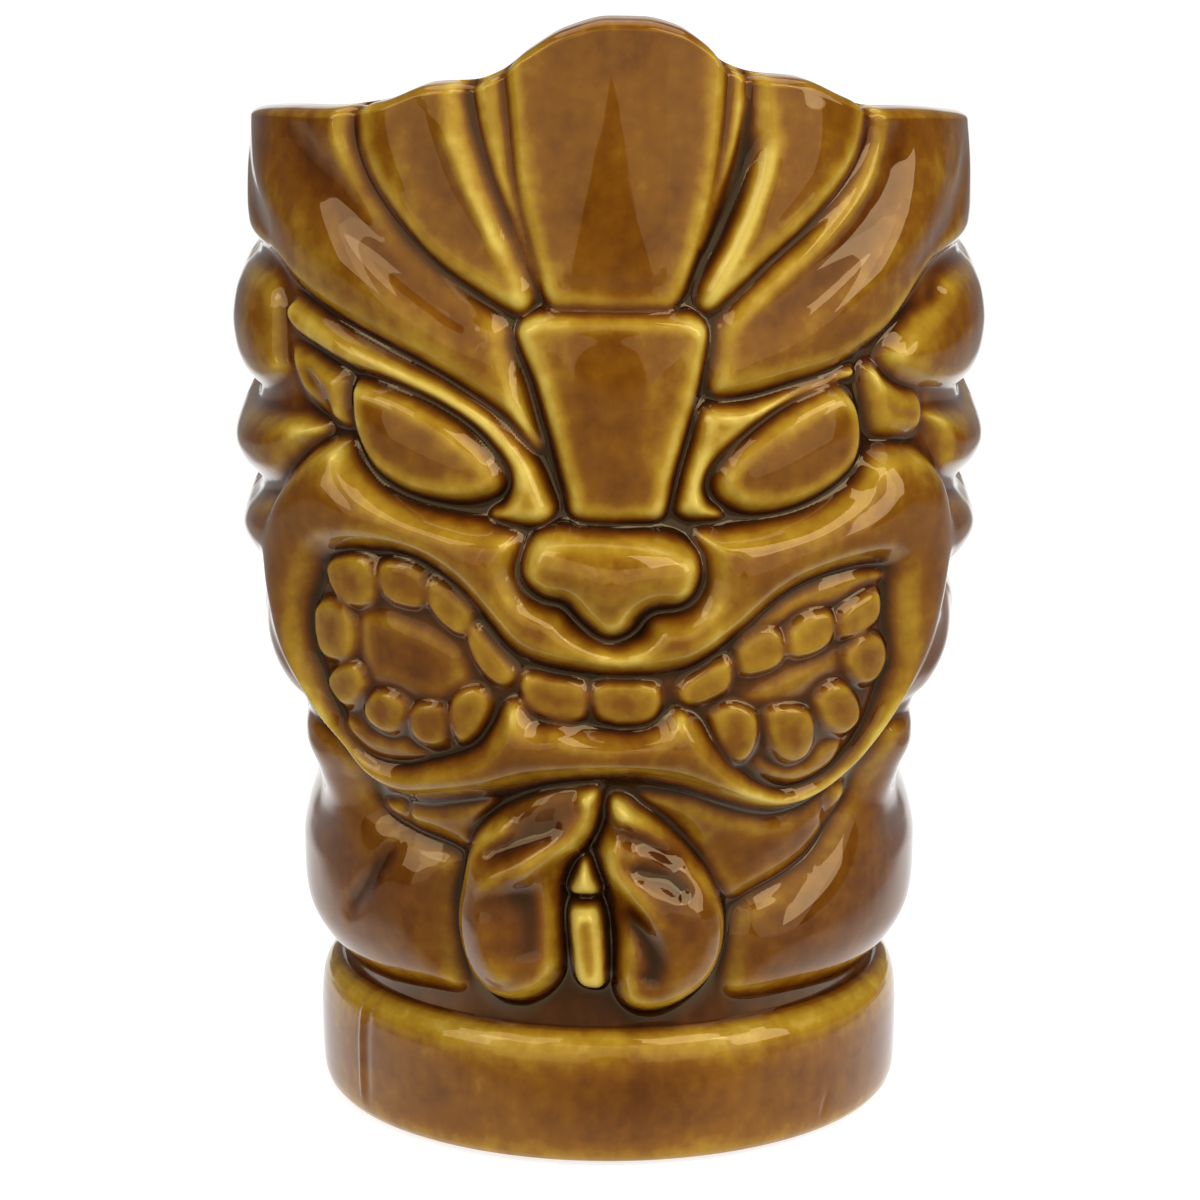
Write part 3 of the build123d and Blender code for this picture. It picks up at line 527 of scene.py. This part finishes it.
def within(outline):
    """1 well inside an outline, falling to 0 at its edge."""
    edge, inside = distance_to(smooth(outline, 2), grid_u, height)
    return np.where(inside, np.clip(edge / 1.5, 0, 1), 0)


relief = np.zeros(height.shape)
stain = np.zeros(height.shape)
nearest = np.full(height.shape, -1e9)
owner = np.zeros(height.shape, int)
names = ["vessel"]


def carve(name, level, outline, hole=None):
    """Add one form's pillow to the relief, and claim its part of the surface."""
    width, crown = next(value for key, value in SHOULDERS.items() if name.startswith(key))
    outline = np.array(outline, float)
    growth = next((value for key, value in THICKENED.items() if name.startswith(key)), 1.0)
    center = (outline.min(0) + outline.max(0)) / 2
    outline = center + (outline - center) * growth
    at_rim = outline[:, 1] > resample(RIM, 1, outline[:, 0]) - RIM_REACH
    outline[at_rim, 1] += RIM_REACH
    curve = smooth(outline, 2 if name.startswith("tooth") else 4)
    at, u, z = window_of(curve, 2.5)
    edge, inside = distance_to(curve, u, z)
    depth = np.where(inside, edge, -edge)
    if hole is not None:
        hole_edge, in_hole = distance_to(smooth(hole), u, z)
        depth = np.minimum(depth, np.where(in_hole, -hole_edge, hole_edge))
    rise = (level - GROUND) * shoulder(depth + 0.5, width)
    rise += crown * np.clip(depth / max(depth.max(), 0.1), 0, 1) ** 0.7
    relief[at] = np.maximum(relief[at], rise)
    closer = depth > nearest[at]
    names.append(name)
    owner[at] = np.where(closer & (depth > -1.0), len(names) - 1, owner[at])
    nearest[at] = np.where(closer, depth, nearest[at])


def stroke(points, half_width, amount, dark=0.0):
    """Raise or sink the surface along a line, and darken the glaze there."""
    curve = smooth(points, closed=False)
    at, u, z = window_of(curve, 3 * half_width)
    along = np.linspace(0, 1, len(curve))
    taper = np.clip(5 * np.minimum(along + 0.04, 1.04 - along), 0, 1) ** 0.7
    distance, strength = distance_to(curve, u, z, closed=False, weights=taper)
    share_here = strength * np.exp(-((distance / half_width) ** 2))
    relief[at] += amount * share_here
    stain[at] += dark * share_here


def bump(u0, z0, half_u, half_z, amount):
    """Raise or sink a soft oval of the surface."""
    relief[:] += amount * np.exp(-(((grid_u - u0) / half_u) ** 2 + ((height - z0) / half_z) ** 2))


beside = np.clip((np.abs(grid_u) - 42) / 4, 0, 1)
beside *= np.clip((height - 54) / 5, 0, 1) * np.clip((121 - height) / 3, 0, 1)
relief += HAIR_BED * beside
for form, (level, outline) in CARVED.items():
    carve(form, level, outline)
carve("lips", 2.0, LIPS, hole=MOUTH)
relief = np.maximum(relief, MOUTH_BED * within(MOUTH))
# Wide forms are smoothed inside their edges, where the shoulders from both sides meet
deep = np.clip((nearest - 2.0) / 1.5, 0, 1)
relief += deep * (blur(relief, 1.3) - relief)

# Folds of the crest
stroke([(-46, 134), (-38, 128), (-30, 121.5), (-21.5, 115), (-15.5, 111.5)], 2.6, -1.3, 0.06)
stroke([(-38.5, 137), (-34.5, 131.5), (-28, 124.5), (-20.5, 118), (-13.5, 112)], 1.3, 0.6)
stroke([(-56, 130), (-48, 124.5), (-40, 120), (-30, 115.5), (-18, 109.5)], 3.4, 0.5, -0.06)
stroke([(-67, 131), (-58, 124.5), (-50, 120)], 2.6, -0.6)
stroke([(41, 136.5), (37, 126.5), (27.5, 118), (17, 110.5)], 2.6, -1.4, 0.06)
stroke([(49, 134), (46.5, 127), (40, 120.5), (31, 115), (18.5, 107.5)], 3.2, 0.5, -0.06)
stroke([(61, 131), (55, 125), (49, 120.5), (40, 115.5)], 2.2, -0.6)
stroke([(19.6, 135), (17, 127.5), (12.5, 119)], 0.8, -1.2, 0.1)
stroke([(22, 135), (18.4, 126), (13.5, 117.5)], 1.1, 0.5, -0.08)
stroke([(-21.5, 137), (-18.2, 129), (-13.8, 120.5)], 1.1, 0.5, -0.08)
stroke([(-27, 140), (-23, 131), (-16, 121.5)], 2.6, -0.7)
# Fingers: a slot under each first finger, and the knuckle ridge beside it
stroke([(-15, 46.9), (-8.2, 49.4), (-3.2, 50.9)], 1.9, -1.9, 0.16)
stroke([(-17.6, 42.7), (-11.6, 45.5), (-5.6, 48)], 1.5, -1.7, 0.18)
stroke([(-19, 38.6), (-11, 42.2), (-4, 46.4)], 1.8, 1.3, -0.10)
stroke([(-0.2, 47.4), (5.3, 45), (11.8, 41)], 1.9, -2.0, 0.18)
stroke([(2.8, 42.3), (7, 40.6), (11.4, 38)], 1.4, -1.6, 0.18)
stroke([(-1.2, 42.6), (3.2, 38.8), (7.6, 32.4)], 1.7, 1.2, -0.10)
stroke([(1.8, 36.4), (5.0, 33), (6.2, 28.6), (5.2, 25.6)], 1.9, -2.0, 0.18)
stroke([(-13, 39.4), (-11.2, 35), (-11.2, 28.6)], 2.0, -1.4, 0.10)
stroke([(-17.6, 36), (-16.6, 30), (-14, 26)], 1.8, 0.8, -0.06)
# Bend of the elbow, folds of the chest under the jaw
stroke([(-44.5, 30.5), (-39.3, 36.0), (-35, 41)], 1.4, -0.9, 0.05)
stroke([(-32.5, 48.4), (-33.4, 44.5)], 1.3, -0.8, 0.05)
stroke([(34.6, 48.4), (36.8, 44)], 1.3, -0.8, 0.05)
# Hollow of the left temple
stroke([(-43.4, 105), (-40, 101.6), (-37.4, 99)], 1.5, -1.0, 0.08)
# Waves of the hair behind the ears
for side in (-1, 1):
    stroke([(side * 84, 107.5), (side * 94, 110), (side * 106, 114)], 1.6, -0.6)
    stroke([(side * 82, 94), (side * 96, 98), (side * 110, 104)], 1.6, -0.7)
    stroke([(side * 84, 80.5), (side * 98, 84), (side * 112, 91)], 1.6, -0.6)
    stroke([(side * 84, 67), (side * 98, 70.5), (side * 112, 78)], 1.6, -0.6)
# Nose tip
bump(0.5, 80, 7, 5, 0.6)

relief = blur(relief, 0.28)
# Glaze colour: thin just inside the edges of a form and on sharp ridges, thick in grooves and on floors
fine, middle = blur(relief, 0.7), blur(relief, 2.2)
thin_edge = np.exp(-(((nearest - 1.4) / 1.6) ** 2))
pool = FLAT_GLAZE - EDGE_THINNING * thin_edge + stain
pool += GROOVE_POOLING * (fine - relief) + HOLLOW_POOLING * (middle - relief)
# Painted shade: the glaze colour is darkened on the lower half
pool += LOWER_PAINTED_SHADE * np.clip((108 - height) / 50, 0, 1)
pool += FLOOR_POOLING * np.clip(1 - relief / 1.4, 0, 1)
pool = blur(np.clip(pool, 0, 1.1), 0.3)
# The glaze partly fills the narrow grooves and rounds them out, most of all towards the rim
rimward = np.clip((height - rim + 20) / 16, 0, 1)
fill = GLAZE_FILL + RIM_FILL * rimward
relief = blur(relief + fill * np.maximum(middle - relief, 0), 0.25)
pool -= RIM_THINNING * rimward * np.clip(pool - 0.6, 0, 1)
level_field = GROUND + relief

# ---------------------------------------------------------------- meshes

kept = np.array([index for index, u in enumerate(around) if abs(u) < BACK_START or index % BACK_SKIP == 0])


def surface_normals(grid):
    """Unit normals of a grid of surface points that closes along its rows."""
    along = np.roll(grid, -1, 1) - np.roll(grid, 1, 1)
    upward = np.gradient(grid, axis=0)
    normals = np.cross(along, upward)
    return normals / np.linalg.norm(normals, axis=-1, keepdims=True)


def add_mesh(name, points, faces, pools, material, normals=None, shown=0):
    """Mesh object with the glaze's depth on its points; the shown faces get the given normals."""
    mesh = bpy.data.meshes.new(name)
    mesh.from_pydata(points, [], faces)
    layer = mesh.attributes.new("pool", "FLOAT", "POINT")
    layer.data.foreach_set("value", np.asarray(pools, np.float32))
    mesh.polygons.foreach_set("use_smooth", np.ones(len(mesh.polygons), bool))
    mesh.materials.append(material)
    mesh.update()
    if normals is not None:
        corner_normals = np.zeros((len(mesh.loops), 3))
        front = np.array(faces[:shown]).reshape(-1)
        corner_normals[:len(front)] = normals[front]
        mesh.normals_split_custom_set(corner_normals.tolist())
    piece = bpy.data.objects.new(name, mesh)
    bpy.context.scene.collection.objects.link(piece)
    return piece


def node(tree, kind, **inputs):
    """Shader node with named input values."""
    made = tree.nodes.new(kind)
    for key, value in inputs.items():
        made.inputs[key.replace("_", " ")].default_value = value
    return made


def colour_ramp(tree, stops, source):
    """Colour ramp through (place, colour) stops."""
    ramp = tree.nodes.new("ShaderNodeValToRGB")
    elements = ramp.color_ramp.elements
    while len(elements) < len(stops):
        elements.new(0.5)
    for element, (position, colour) in zip(elements, stops):
        element.position = position
        element.color = (*colour, 1)
    tree.links.new(source, ramp.inputs["Fac"])
    return ramp.outputs["Color"]


def noise(tree, coordinates, scale, detail, stretch=(1, 1, 1)):
    """Noise texture in object space, stretched along the axes."""
    mapping = tree.nodes.new("ShaderNodeMapping")
    mapping.inputs["Scale"].default_value = stretch
    tree.links.new(coordinates, mapping.inputs["Vector"])
    texture = node(tree, "ShaderNodeTexNoise", Scale=scale, Detail=detail)
    tree.links.new(mapping.outputs["Vector"], texture.inputs["Vector"])
    return texture.outputs["Fac"]


def math(tree, operation, first, second):
    """Math node on a socket and a socket or number."""
    made = tree.nodes.new("ShaderNodeMath")
    made.operation = operation
    tree.links.new(first, made.inputs[0])
    if isinstance(second, (int, float)):
        made.inputs[1].default_value = second
    else:
        tree.links.new(second, made.inputs[1])
    return made.outputs[0]


# Glaze colour by how deep it pools: thin on the ridges, thick in the grooves
GLAZE_STOPS = [
    (0.10, (0.56, 0.40, 0.070)), (0.28, (0.345, 0.190, 0.012)), (0.50, (0.172, 0.060, 0.003)),
    (0.66, (0.098, 0.026, 0.002)), (0.82, (0.046, 0.010, 0.001)), (1.0, (0.014, 0.004, 0.001)),
]


def glaze_material():
    """Amber glaze over pale clay: colour from depth, brush streaks and mottling, a warm gloss."""
    material = bpy.data.materials.new("amber_glaze")
    material.use_nodes = True
    tree = material.node_tree
    shader = tree.nodes["Principled BSDF"]
    coordinates = tree.nodes.new("ShaderNodeTexCoord").outputs["Object"]
    attribute = tree.nodes.new("ShaderNodeAttribute")
    attribute.attribute_name = "pool"
    streaks = noise(tree, coordinates, 260.0, 4.0, (1.0, 1.0, 0.16))
    mottling = noise(tree, coordinates, 90.0, 4.0)
    speckle = noise(tree, coordinates, 420.0, 3.0)
    depth = attribute.outputs["Fac"]
    for pattern, strength in ((streaks, 0.20), (mottling, 0.34), (speckle, 0.26)):
        swing = math(tree, "MULTIPLY", math(tree, "SUBTRACT", pattern, 0.5), strength)
        depth = math(tree, "ADD", depth, swing)
    colour = colour_ramp(tree, GLAZE_STOPS, depth)
    tree.links.new(colour, shader.inputs["Base Color"])
    shader.inputs["Roughness"].default_value = 0.02
    shader.inputs["Specular IOR Level"].default_value = 0.40
    shader.inputs["Specular Tint"].default_value = (1.0, 0.66, 0.22, 1)
    shader.inputs["Coat Weight"].default_value = 0.20
    shader.inputs["Coat Roughness"].default_value = 0.015
    shader.inputs["Coat IOR"].default_value = 1.5
    bump_node = node(tree, "ShaderNodeBump", Strength=0.12, Distance=0.0004)
    tree.links.new(noise(tree, coordinates, 90.0, 2.0), bump_node.inputs["Height"])
    tree.links.new(bump_node.outputs["Normal"], shader.inputs["Coat Normal"])
    return material


def clay_material():
    """Bare fired clay of the foot ring."""
    material = bpy.data.materials.new("bare_clay")
    material.use_nodes = True
    tree = material.node_tree
    shader = tree.nodes["Principled BSDF"]
    coordinates = tree.nodes.new("ShaderNodeTexCoord").outputs["Object"]
    grain = noise(tree, coordinates, 900.0, 5.0)
    colour = colour_ramp(tree, [(0.35, (0.50, 0.40, 0.28)), (0.65, (0.66, 0.56, 0.42))], grain)
    tree.links.new(colour, shader.inputs["Base Color"])
    shader.inputs["Roughness"].default_value = 0.85
    bump_node = node(tree, "ShaderNodeBump", Strength=0.3, Distance=0.0002)
    tree.links.new(grain, bump_node.inputs["Height"])
    tree.links.new(bump_node.outputs["Normal"], shader.inputs["Normal"])
    return material


glaze = glaze_material()
clay = clay_material()


# Surface points: the outside, then the outer half of the rounded lip
lip_angles = np.linspace(0, pi / 2, LIP_ROWS + 1)[1:]
cover = np.clip(relief[-1] / 3, 0, 1)
lip_top = rim - 0.9 * (1 - cover)
outer_edge = mean_radius(around, height[-1]) + level_field[-1]
inner_edge = mean_radius(around, height[-1]) + INSIDE
lip_middle, lip_half = (outer_edge + inner_edge) / 2, (outer_edge - inner_edge) / 2
wall = place(grid_u, height, level_field)


def lip_row(angle):
    """One ring of points on the rounded lip; 0 is outside and pi inside."""
    radius = lip_middle + lip_half * np.cos(angle)
    rise = height[-1] + (lip_top - height[-1]) * np.sin(angle)
    azimuth = around / GIRTH
    return np.stack([radius * np.sin(azimuth), -radius * np.cos(azimuth), rise], -1) * MM


outside = np.concatenate([wall, np.stack([lip_row(angle) for angle in lip_angles])])
outside_normals = surface_normals(np.concatenate([outside, lip_row(pi / 2 + 0.15)[None]]))[:-1, kept]
outside = outside[:, kept]
pool_all = np.concatenate([pool, np.repeat(pool[-1:] * 0.8, LIP_ROWS, 0)])[:, kept]
owner_all = np.concatenate([owner, np.repeat(owner[-1:], LIP_ROWS, 0)])[:, kept]
total_rows, total_columns = owner_all.shape
backing_height = np.minimum(height, height[-1] - 0.4)
backing = place(grid_u, backing_height, BACKING + 0.05 + 0 * height)
backing = np.concatenate([backing, np.repeat(backing[-1:], LIP_ROWS, 0)])[:, kept]
backing[-LIP_ROWS:, :, 2] += np.linspace(0.0002, 0.002, LIP_ROWS)[:, None]


def patch(name, chosen):
    """Closed piece over the chosen grid cells: sculpted front, flat back and side walls."""
    cell_row, cell_column = np.nonzero(chosen)
    next_column = (cell_column + 1) % total_columns
    low, high = cell_row * total_columns, (cell_row + 1) * total_columns
    corners = np.stack([low + cell_column, low + next_column, high + next_column, high + cell_column], 1)
    used, faces = np.unique(corners, return_inverse=True)
    faces = faces.reshape(-1, 4)
    count = len(used)
    edges = np.concatenate([faces[:, [side, (side + 1) % 4]] for side in range(4)])
    key = edges[:, 0].astype(np.int64) * count + edges[:, 1]
    back_key = edges[:, 1].astype(np.int64) * count + edges[:, 0]
    border = edges[~np.isin(key, back_key)]
    walls = np.stack([border[:, 1], border[:, 0], border[:, 0] + count, border[:, 1] + count], 1)
    all_faces = np.concatenate([faces, faces[:, ::-1] + count, walls])
    points = np.concatenate([outside.reshape(-1, 3)[used], backing.reshape(-1, 3)[used]])
    pools = np.concatenate([pool_all.reshape(-1)[used]] * 2)
    normals = outside_normals.reshape(-1, 3)[used]
    return add_mesh(name, points.tolist(), all_faces.tolist(), pools, glaze, normals, len(faces))


cell_owner = owner_all[:-1]
for index, name in enumerate(names):
    chosen = cell_owner == index
    if not chosen.any():
        print("no surface for", name)
        continue
    piece = patch("cup_skin" if name == "vessel" else "carved_" + name, chosen)
    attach(piece, "root")
    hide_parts(name)


def ring_solid(name, rings, pools, material, close=True, normals=None):
    """Closed solid through rings of points; with normals, they are those of its first rings."""
    count = rings[0].shape[0]
    faces = []
    pairs = [(index, (index + 1) % len(rings)) for index in range(len(rings) if close else len(rings) - 1)]
    shown = 0 if normals is None else (len(normals) - 1) * count
    column = np.arange(count)
    after = (column + 1) % count
    for low, high in pairs:
        corners = [low * count + column, low * count + after, high * count + after, high * count + column]
        faces.append(np.stack(corners, 1))
    faces = np.concatenate(faces).tolist()
    if not close:
        faces.append(list(range(count))[::-1])
        faces.append([(len(rings) - 1) * count + index for index in range(count)])
    points = np.concatenate(rings).tolist()
    if normals is not None:
        normals = normals.reshape(-1, 3)
    return add_mesh(name, points, faces, np.repeat(pools, count), material, normals, shown)


# Cup wall: inner half of the lip, the drink side, and the hidden outside
u_kept = around[kept]
inner_top = height[-1][kept]
rings = [lip_row(angle)[kept] for angle in np.linspace(pi / 2, pi, LIP_ROWS)]
pools = [0.2] * 3 + [0.30] * (LIP_ROWS - 3)
for part in np.linspace(0, 1, 60)[1:]:
    level = inner_top + (PLINTH_TOP - inner_top) * part
    rings.append(place(u_kept, level, np.full(level.shape, INSIDE)))
    pools.append(0.42 + 0.1 * part)
before = lip_row(pi / 2 - 0.15)[kept]
cup_normals = surface_normals(np.stack([before] + rings))[1:]
for level in (PLINTH_TOP + (inner_top - 0.3 - PLINTH_TOP) * part for part in np.linspace(0, 1, 30)):
    rings.append(place(u_kept, level, np.full(level.shape, BACKING)))
    pools.append(0.5)
cup = ring_solid("cup_wall", rings, pools, glaze, normals=cup_normals)
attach(cup, "root")
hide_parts("vessel")

# Plinth: radius, height and glaze of its profile from the top edge down and under
PLINTH_PROFILE = [
    (36.3, 18.6, 0.8), (36.9, 18.55, 0.6), (37.6, 18.25, 0.42), (38.3, 17.7, 0.30), (38.9, 16.9, 0.28),
    (39.35, 15.8, 0.36), (39.6, 14.4, 0.48), (39.75, 12, 0.58), (39.75, 9, 0.60), (39.7, 6.5, 0.58),
    (39.6, 4.3, 0.54), (39.45, 2.8, 0.46), (39.15, 1.7, 0.38), (38.6, 0.95, 0.34), (37.6, 0.5, 0.4),
    (35.2, 0.45, 0.6), (29.4, 0.45, 0.5), (28.9, 0.7, 0.5), (28.6, 1.1, 0.5), (0.3, 1.2, 0.5),
]
BOWL_PROFILE = [
    (0.3, 7.0, 0.55), (24, 7.0, 0.55), (28, 7.2, 0.6), (30.5, 8.2, 0.6), (32.4, 10, 0.55), (33.5, 12.5, 0.5),
    (33.9, 15.5, 0.5), (33.9, 18.6, 0.5),
]
FOOT_PROFILE = [(35.3, 0.8), (35.1, 0.15), (34.6, 0.0), (30.0, 0.0), (29.5, 0.15), (29.3, 0.8)]
SEAM = -57 * pi / 180          # the mould's parting line, and its other half across the plinth
SEAM_RADIUS = 37              # the parting line shows on the profile outside this radius
UNDERSIDE = 13                # the profile's points from this one on lie underneath
SPOKES = 720
turn = 2 * pi * np.arange(SPOKES) / SPOKES


def spun_ring(radius, level):
    """Ring of points round the axis; radius is a number or one for each spoke."""
    return np.stack([radius * np.sin(turn), -radius * np.cos(turn), np.full(SPOKES, level)], -1) * MM


def seam_ridge(level):
    """How far the plinth's side stands out: the parting line, a nick and the hand's unevenness."""
    fade = np.clip((level - 2.5) / 3, 0, 1) * np.clip((18.4 - level) / 2, 0, 1)
    out = 0.10 * np.sin(2 * turn + 0.7) + 0.05 * np.sin(5 * turn + 2.1 + 0.1 * level)
    for seam in (SEAM, SEAM + pi):
        gap = (np.mod(turn - seam + pi, 2 * pi) - pi) * 39.7
        out += 0.28 * np.exp(-((gap / 0.45) ** 2)) - 0.22 * np.exp(-(((gap - 1.3) / 1.0) ** 2))
    nick = (turn - 46 * pi / 180) * 39.7 - 0.3 * (level - 4)
    out -= 0.5 * np.exp(-((nick / 0.4) ** 2)) * np.clip(1 - abs(level - 4) / 2.5, 0, 1)
    return out * fade


rings, pools = [], []
profile = np.array(PLINTH_PROFILE)
steps = [np.linspace(start, end, 4)[:-1] for start, end in zip(profile[:UNDERSIDE], profile[1:])]
for radius, level, depth in np.concatenate(steps + [profile[UNDERSIDE:]]):
    standing = seam_ridge(level) if radius > SEAM_RADIUS else 0 * turn
    rings.append(spun_ring(radius + standing, level))
    pools.append(depth)
for radius, level, depth in BOWL_PROFILE:
    rings.append(spun_ring(radius, level))
    pools.append(depth)
base = ring_solid("plinth_base", rings[::-1], pools[::-1], glaze)
rings = [spun_ring(radius, level) for radius, level in FOOT_PROFILE[::-1]]
foot = ring_solid("foot_ring", rings, [0.5] * len(rings), clay)
for piece, slot in ((base, "amber_glaze"), (foot, "bare_clay")):
    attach(piece, "root")
    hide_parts("plinth")

# ---------------------------------------------------------------- studio

SHEET = 3.0                   # half width and height of the seamless sheet
CURL_START, CURL = 0.9, 0.6   # the floor curls up into the wall from here, with this radius
GLOW = 0.78                   # light that the sheet gives off round the mug
BRIDGE_DEPTH = -0.935         # place of the screen between the panels


def area_light(name, location, target, size, power):
    """Rectangular soft box that faces a target."""
    light = bpy.data.lights.new(name, "AREA")
    light.shape = "RECTANGLE"
    light.size, light.size_y = size
    light.energy = power
    lamp = bpy.data.objects.new(name, light)
    lamp.location = location
    lamp.rotation_euler = (Vector(target) - Vector(location)).to_track_quat("-Z", "Y").to_euler()
    bpy.context.scene.collection.objects.link(lamp)


def glowing_sheet():
    """Pale seamless floor and wall; light shines through a soft-edged patch under and behind the mug."""
    front, under = np.linspace(-SHEET, -0.1, 12)[:-1], np.arange(-0.1, 0, 0.005)
    behind = np.arange(0, CURL_START, 0.02)
    curl = np.linspace(0, pi / 2, 14)
    profile = [(depth, 0.0) for depth in np.concatenate([front, under, behind])]
    profile += [(CURL_START + CURL * np.sin(angle), CURL - CURL * np.cos(angle)) for angle in curl]
    profile += [(CURL_START + CURL, level) for level in np.linspace(CURL + 0.1, SHEET, 12)]
    profile = np.array(profile)
    spread = np.linspace(-1, 1, 121)
    across = SHEET * np.sign(spread) * np.abs(spread) ** 2.4
    x, y = np.meshgrid(across, profile[:, 0])
    z = np.repeat(profile[:, 1:], len(across), 1)
    sideways = np.clip(1 + 3 * (1 - np.abs(x) / np.maximum(0.095 + 0.145 * y, 0.01)), 0, 1)
    forward = np.clip((y + 0.069) / 0.022, 0, 1)
    upward = np.clip(1.9 - z, 0, 1)
    glow = sideways**2 * (3 - 2 * sideways) * forward * upward
    corner = np.arange(len(profile) - 1)[:, None] * len(across) + np.arange(len(across) - 1)
    corner = corner.reshape(-1)
    faces = np.stack([corner, corner + 1, corner + 1 + len(across), corner + len(across)], 1)
    mesh = bpy.data.meshes.new("pale_sheet")
    mesh.from_pydata(np.stack([x, y, z], -1).reshape(-1, 3).tolist(), [], faces.tolist())
    mesh.polygons.foreach_set("use_smooth", [True] * len(mesh.polygons))
    layer = mesh.attributes.new("glow", "FLOAT", "POINT")
    layer.data.foreach_set("value", (GLOW * glow).reshape(-1).astype(np.float32))
    material = bpy.data.materials.new("pale_sheet")
    material.use_nodes = True
    tree = material.node_tree
    shader = tree.nodes["Principled BSDF"]
    shader.inputs["Base Color"].default_value = (0.42, 0.42, 0.42, 1)
    shader.inputs["Roughness"].default_value = 0.9
    shader.inputs["Emission Color"].default_value = (1, 1, 1, 1)
    attribute = tree.nodes.new("ShaderNodeAttribute")
    attribute.attribute_name = "glow"
    tree.links.new(attribute.outputs["Fac"], shader.inputs["Emission Strength"])
    mesh.materials.append(material)
    sheet = bpy.data.objects.new("pale_sheet", mesh)
    bpy.context.scene.collection.objects.link(sheet)


def panel_bridge():
    """Glowing screen that closes the gap between the two tall panels, with an arch cut out of its foot."""
    arch = [(0.20, 0.0), (0.14, 0.0), (0.11, 0.04), (0.07, 0.085), (0.03, 0.14), (0.0, 0.20)]
    corners = []
    for side in (-1, 1):
        corners += [(side * x, BRIDGE_DEPTH, z) for x, z in arch + [(0.0, 0.8), (0.20, 0.8)]]
    mesh = bpy.data.meshes.new("panel_bridge")
    mesh.from_pydata(corners, [], [range(8), range(8, 16)])
    material = bpy.data.materials.new("panel_bridge")
    material.use_nodes = True
    shader = material.node_tree.nodes["Principled BSDF"]
    shader.inputs["Base Color"].default_value = (0, 0, 0, 1)
    shader.inputs["Emission Color"].default_value = (1, 1, 1, 1)
    shader.inputs["Emission Strength"].default_value = 1.2
    mesh.materials.append(material)
    bridge = bpy.data.objects.new("panel_bridge", mesh)
    bpy.context.scene.collection.objects.link(bridge)


glowing_sheet()
panel_bridge()
# Two tall panels stand behind the camera; the arch between them shows as a dark flame on the crest
area_light("left_panel", (-0.50, -0.74, 0.40), (-0.10, 0, 0.28), (0.82, 0.80), 2.4)
area_light("right_panel", (0.54, -0.74, 0.40), (0.10, 0, 0.28), (0.86, 0.80), 3.0)
area_light("right_window", (0.62, -0.34, 0.40), (0, 0, 0.08), (0.34, 0.50), 2.4)
area_light("left_window", (-0.60, -0.36, 0.44), (0, 0, 0.08), (0.30, 0.42), 1.1)
area_light("right_top_box", (0.38, -0.50, 0.78), (0, 0, 0.06), (0.42, 0.42), 2.8)
area_light("left_top_box", (-0.45, -0.45, 0.72), (0, 0, 0.06), (0.40, 0.40), 1.6)
area_light("top_box", (0.0, 0.30, 1.0), (0, 0.12, 0.0), (1.0, 0.8), 4.5)

world = bpy.data.worlds.new("studio")
bpy.context.scene.world = world
world.use_nodes = True
world.node_tree.nodes["Background"].inputs["Color"].default_value = (1, 1, 1, 1)
world.node_tree.nodes["Background"].inputs["Strength"].default_value = 0.12
bpy.context.scene.view_settings.view_transform = "Standard"

# Camera: above the rim, looking a little down
CAMERA_DISTANCE = 0.562
CAMERA_HEIGHT = 0.199
AIM_HEIGHT = 0.0672
camera_data = bpy.data.cameras.new("camera")
camera_data.lens = 127.35
camera_data.sensor_width = 36.0
camera_data.shift_x = -0.0075
camera = bpy.data.objects.new("camera", camera_data)
camera.location = (0, -CAMERA_DISTANCE, CAMERA_HEIGHT)
camera.rotation_euler = (pi / 2 - atan2(CAMERA_HEIGHT - AIM_HEIGHT, CAMERA_DISTANCE), 0, 0)
bpy.context.scene.collection.objects.link(camera)
bpy.context.scene.camera = camera
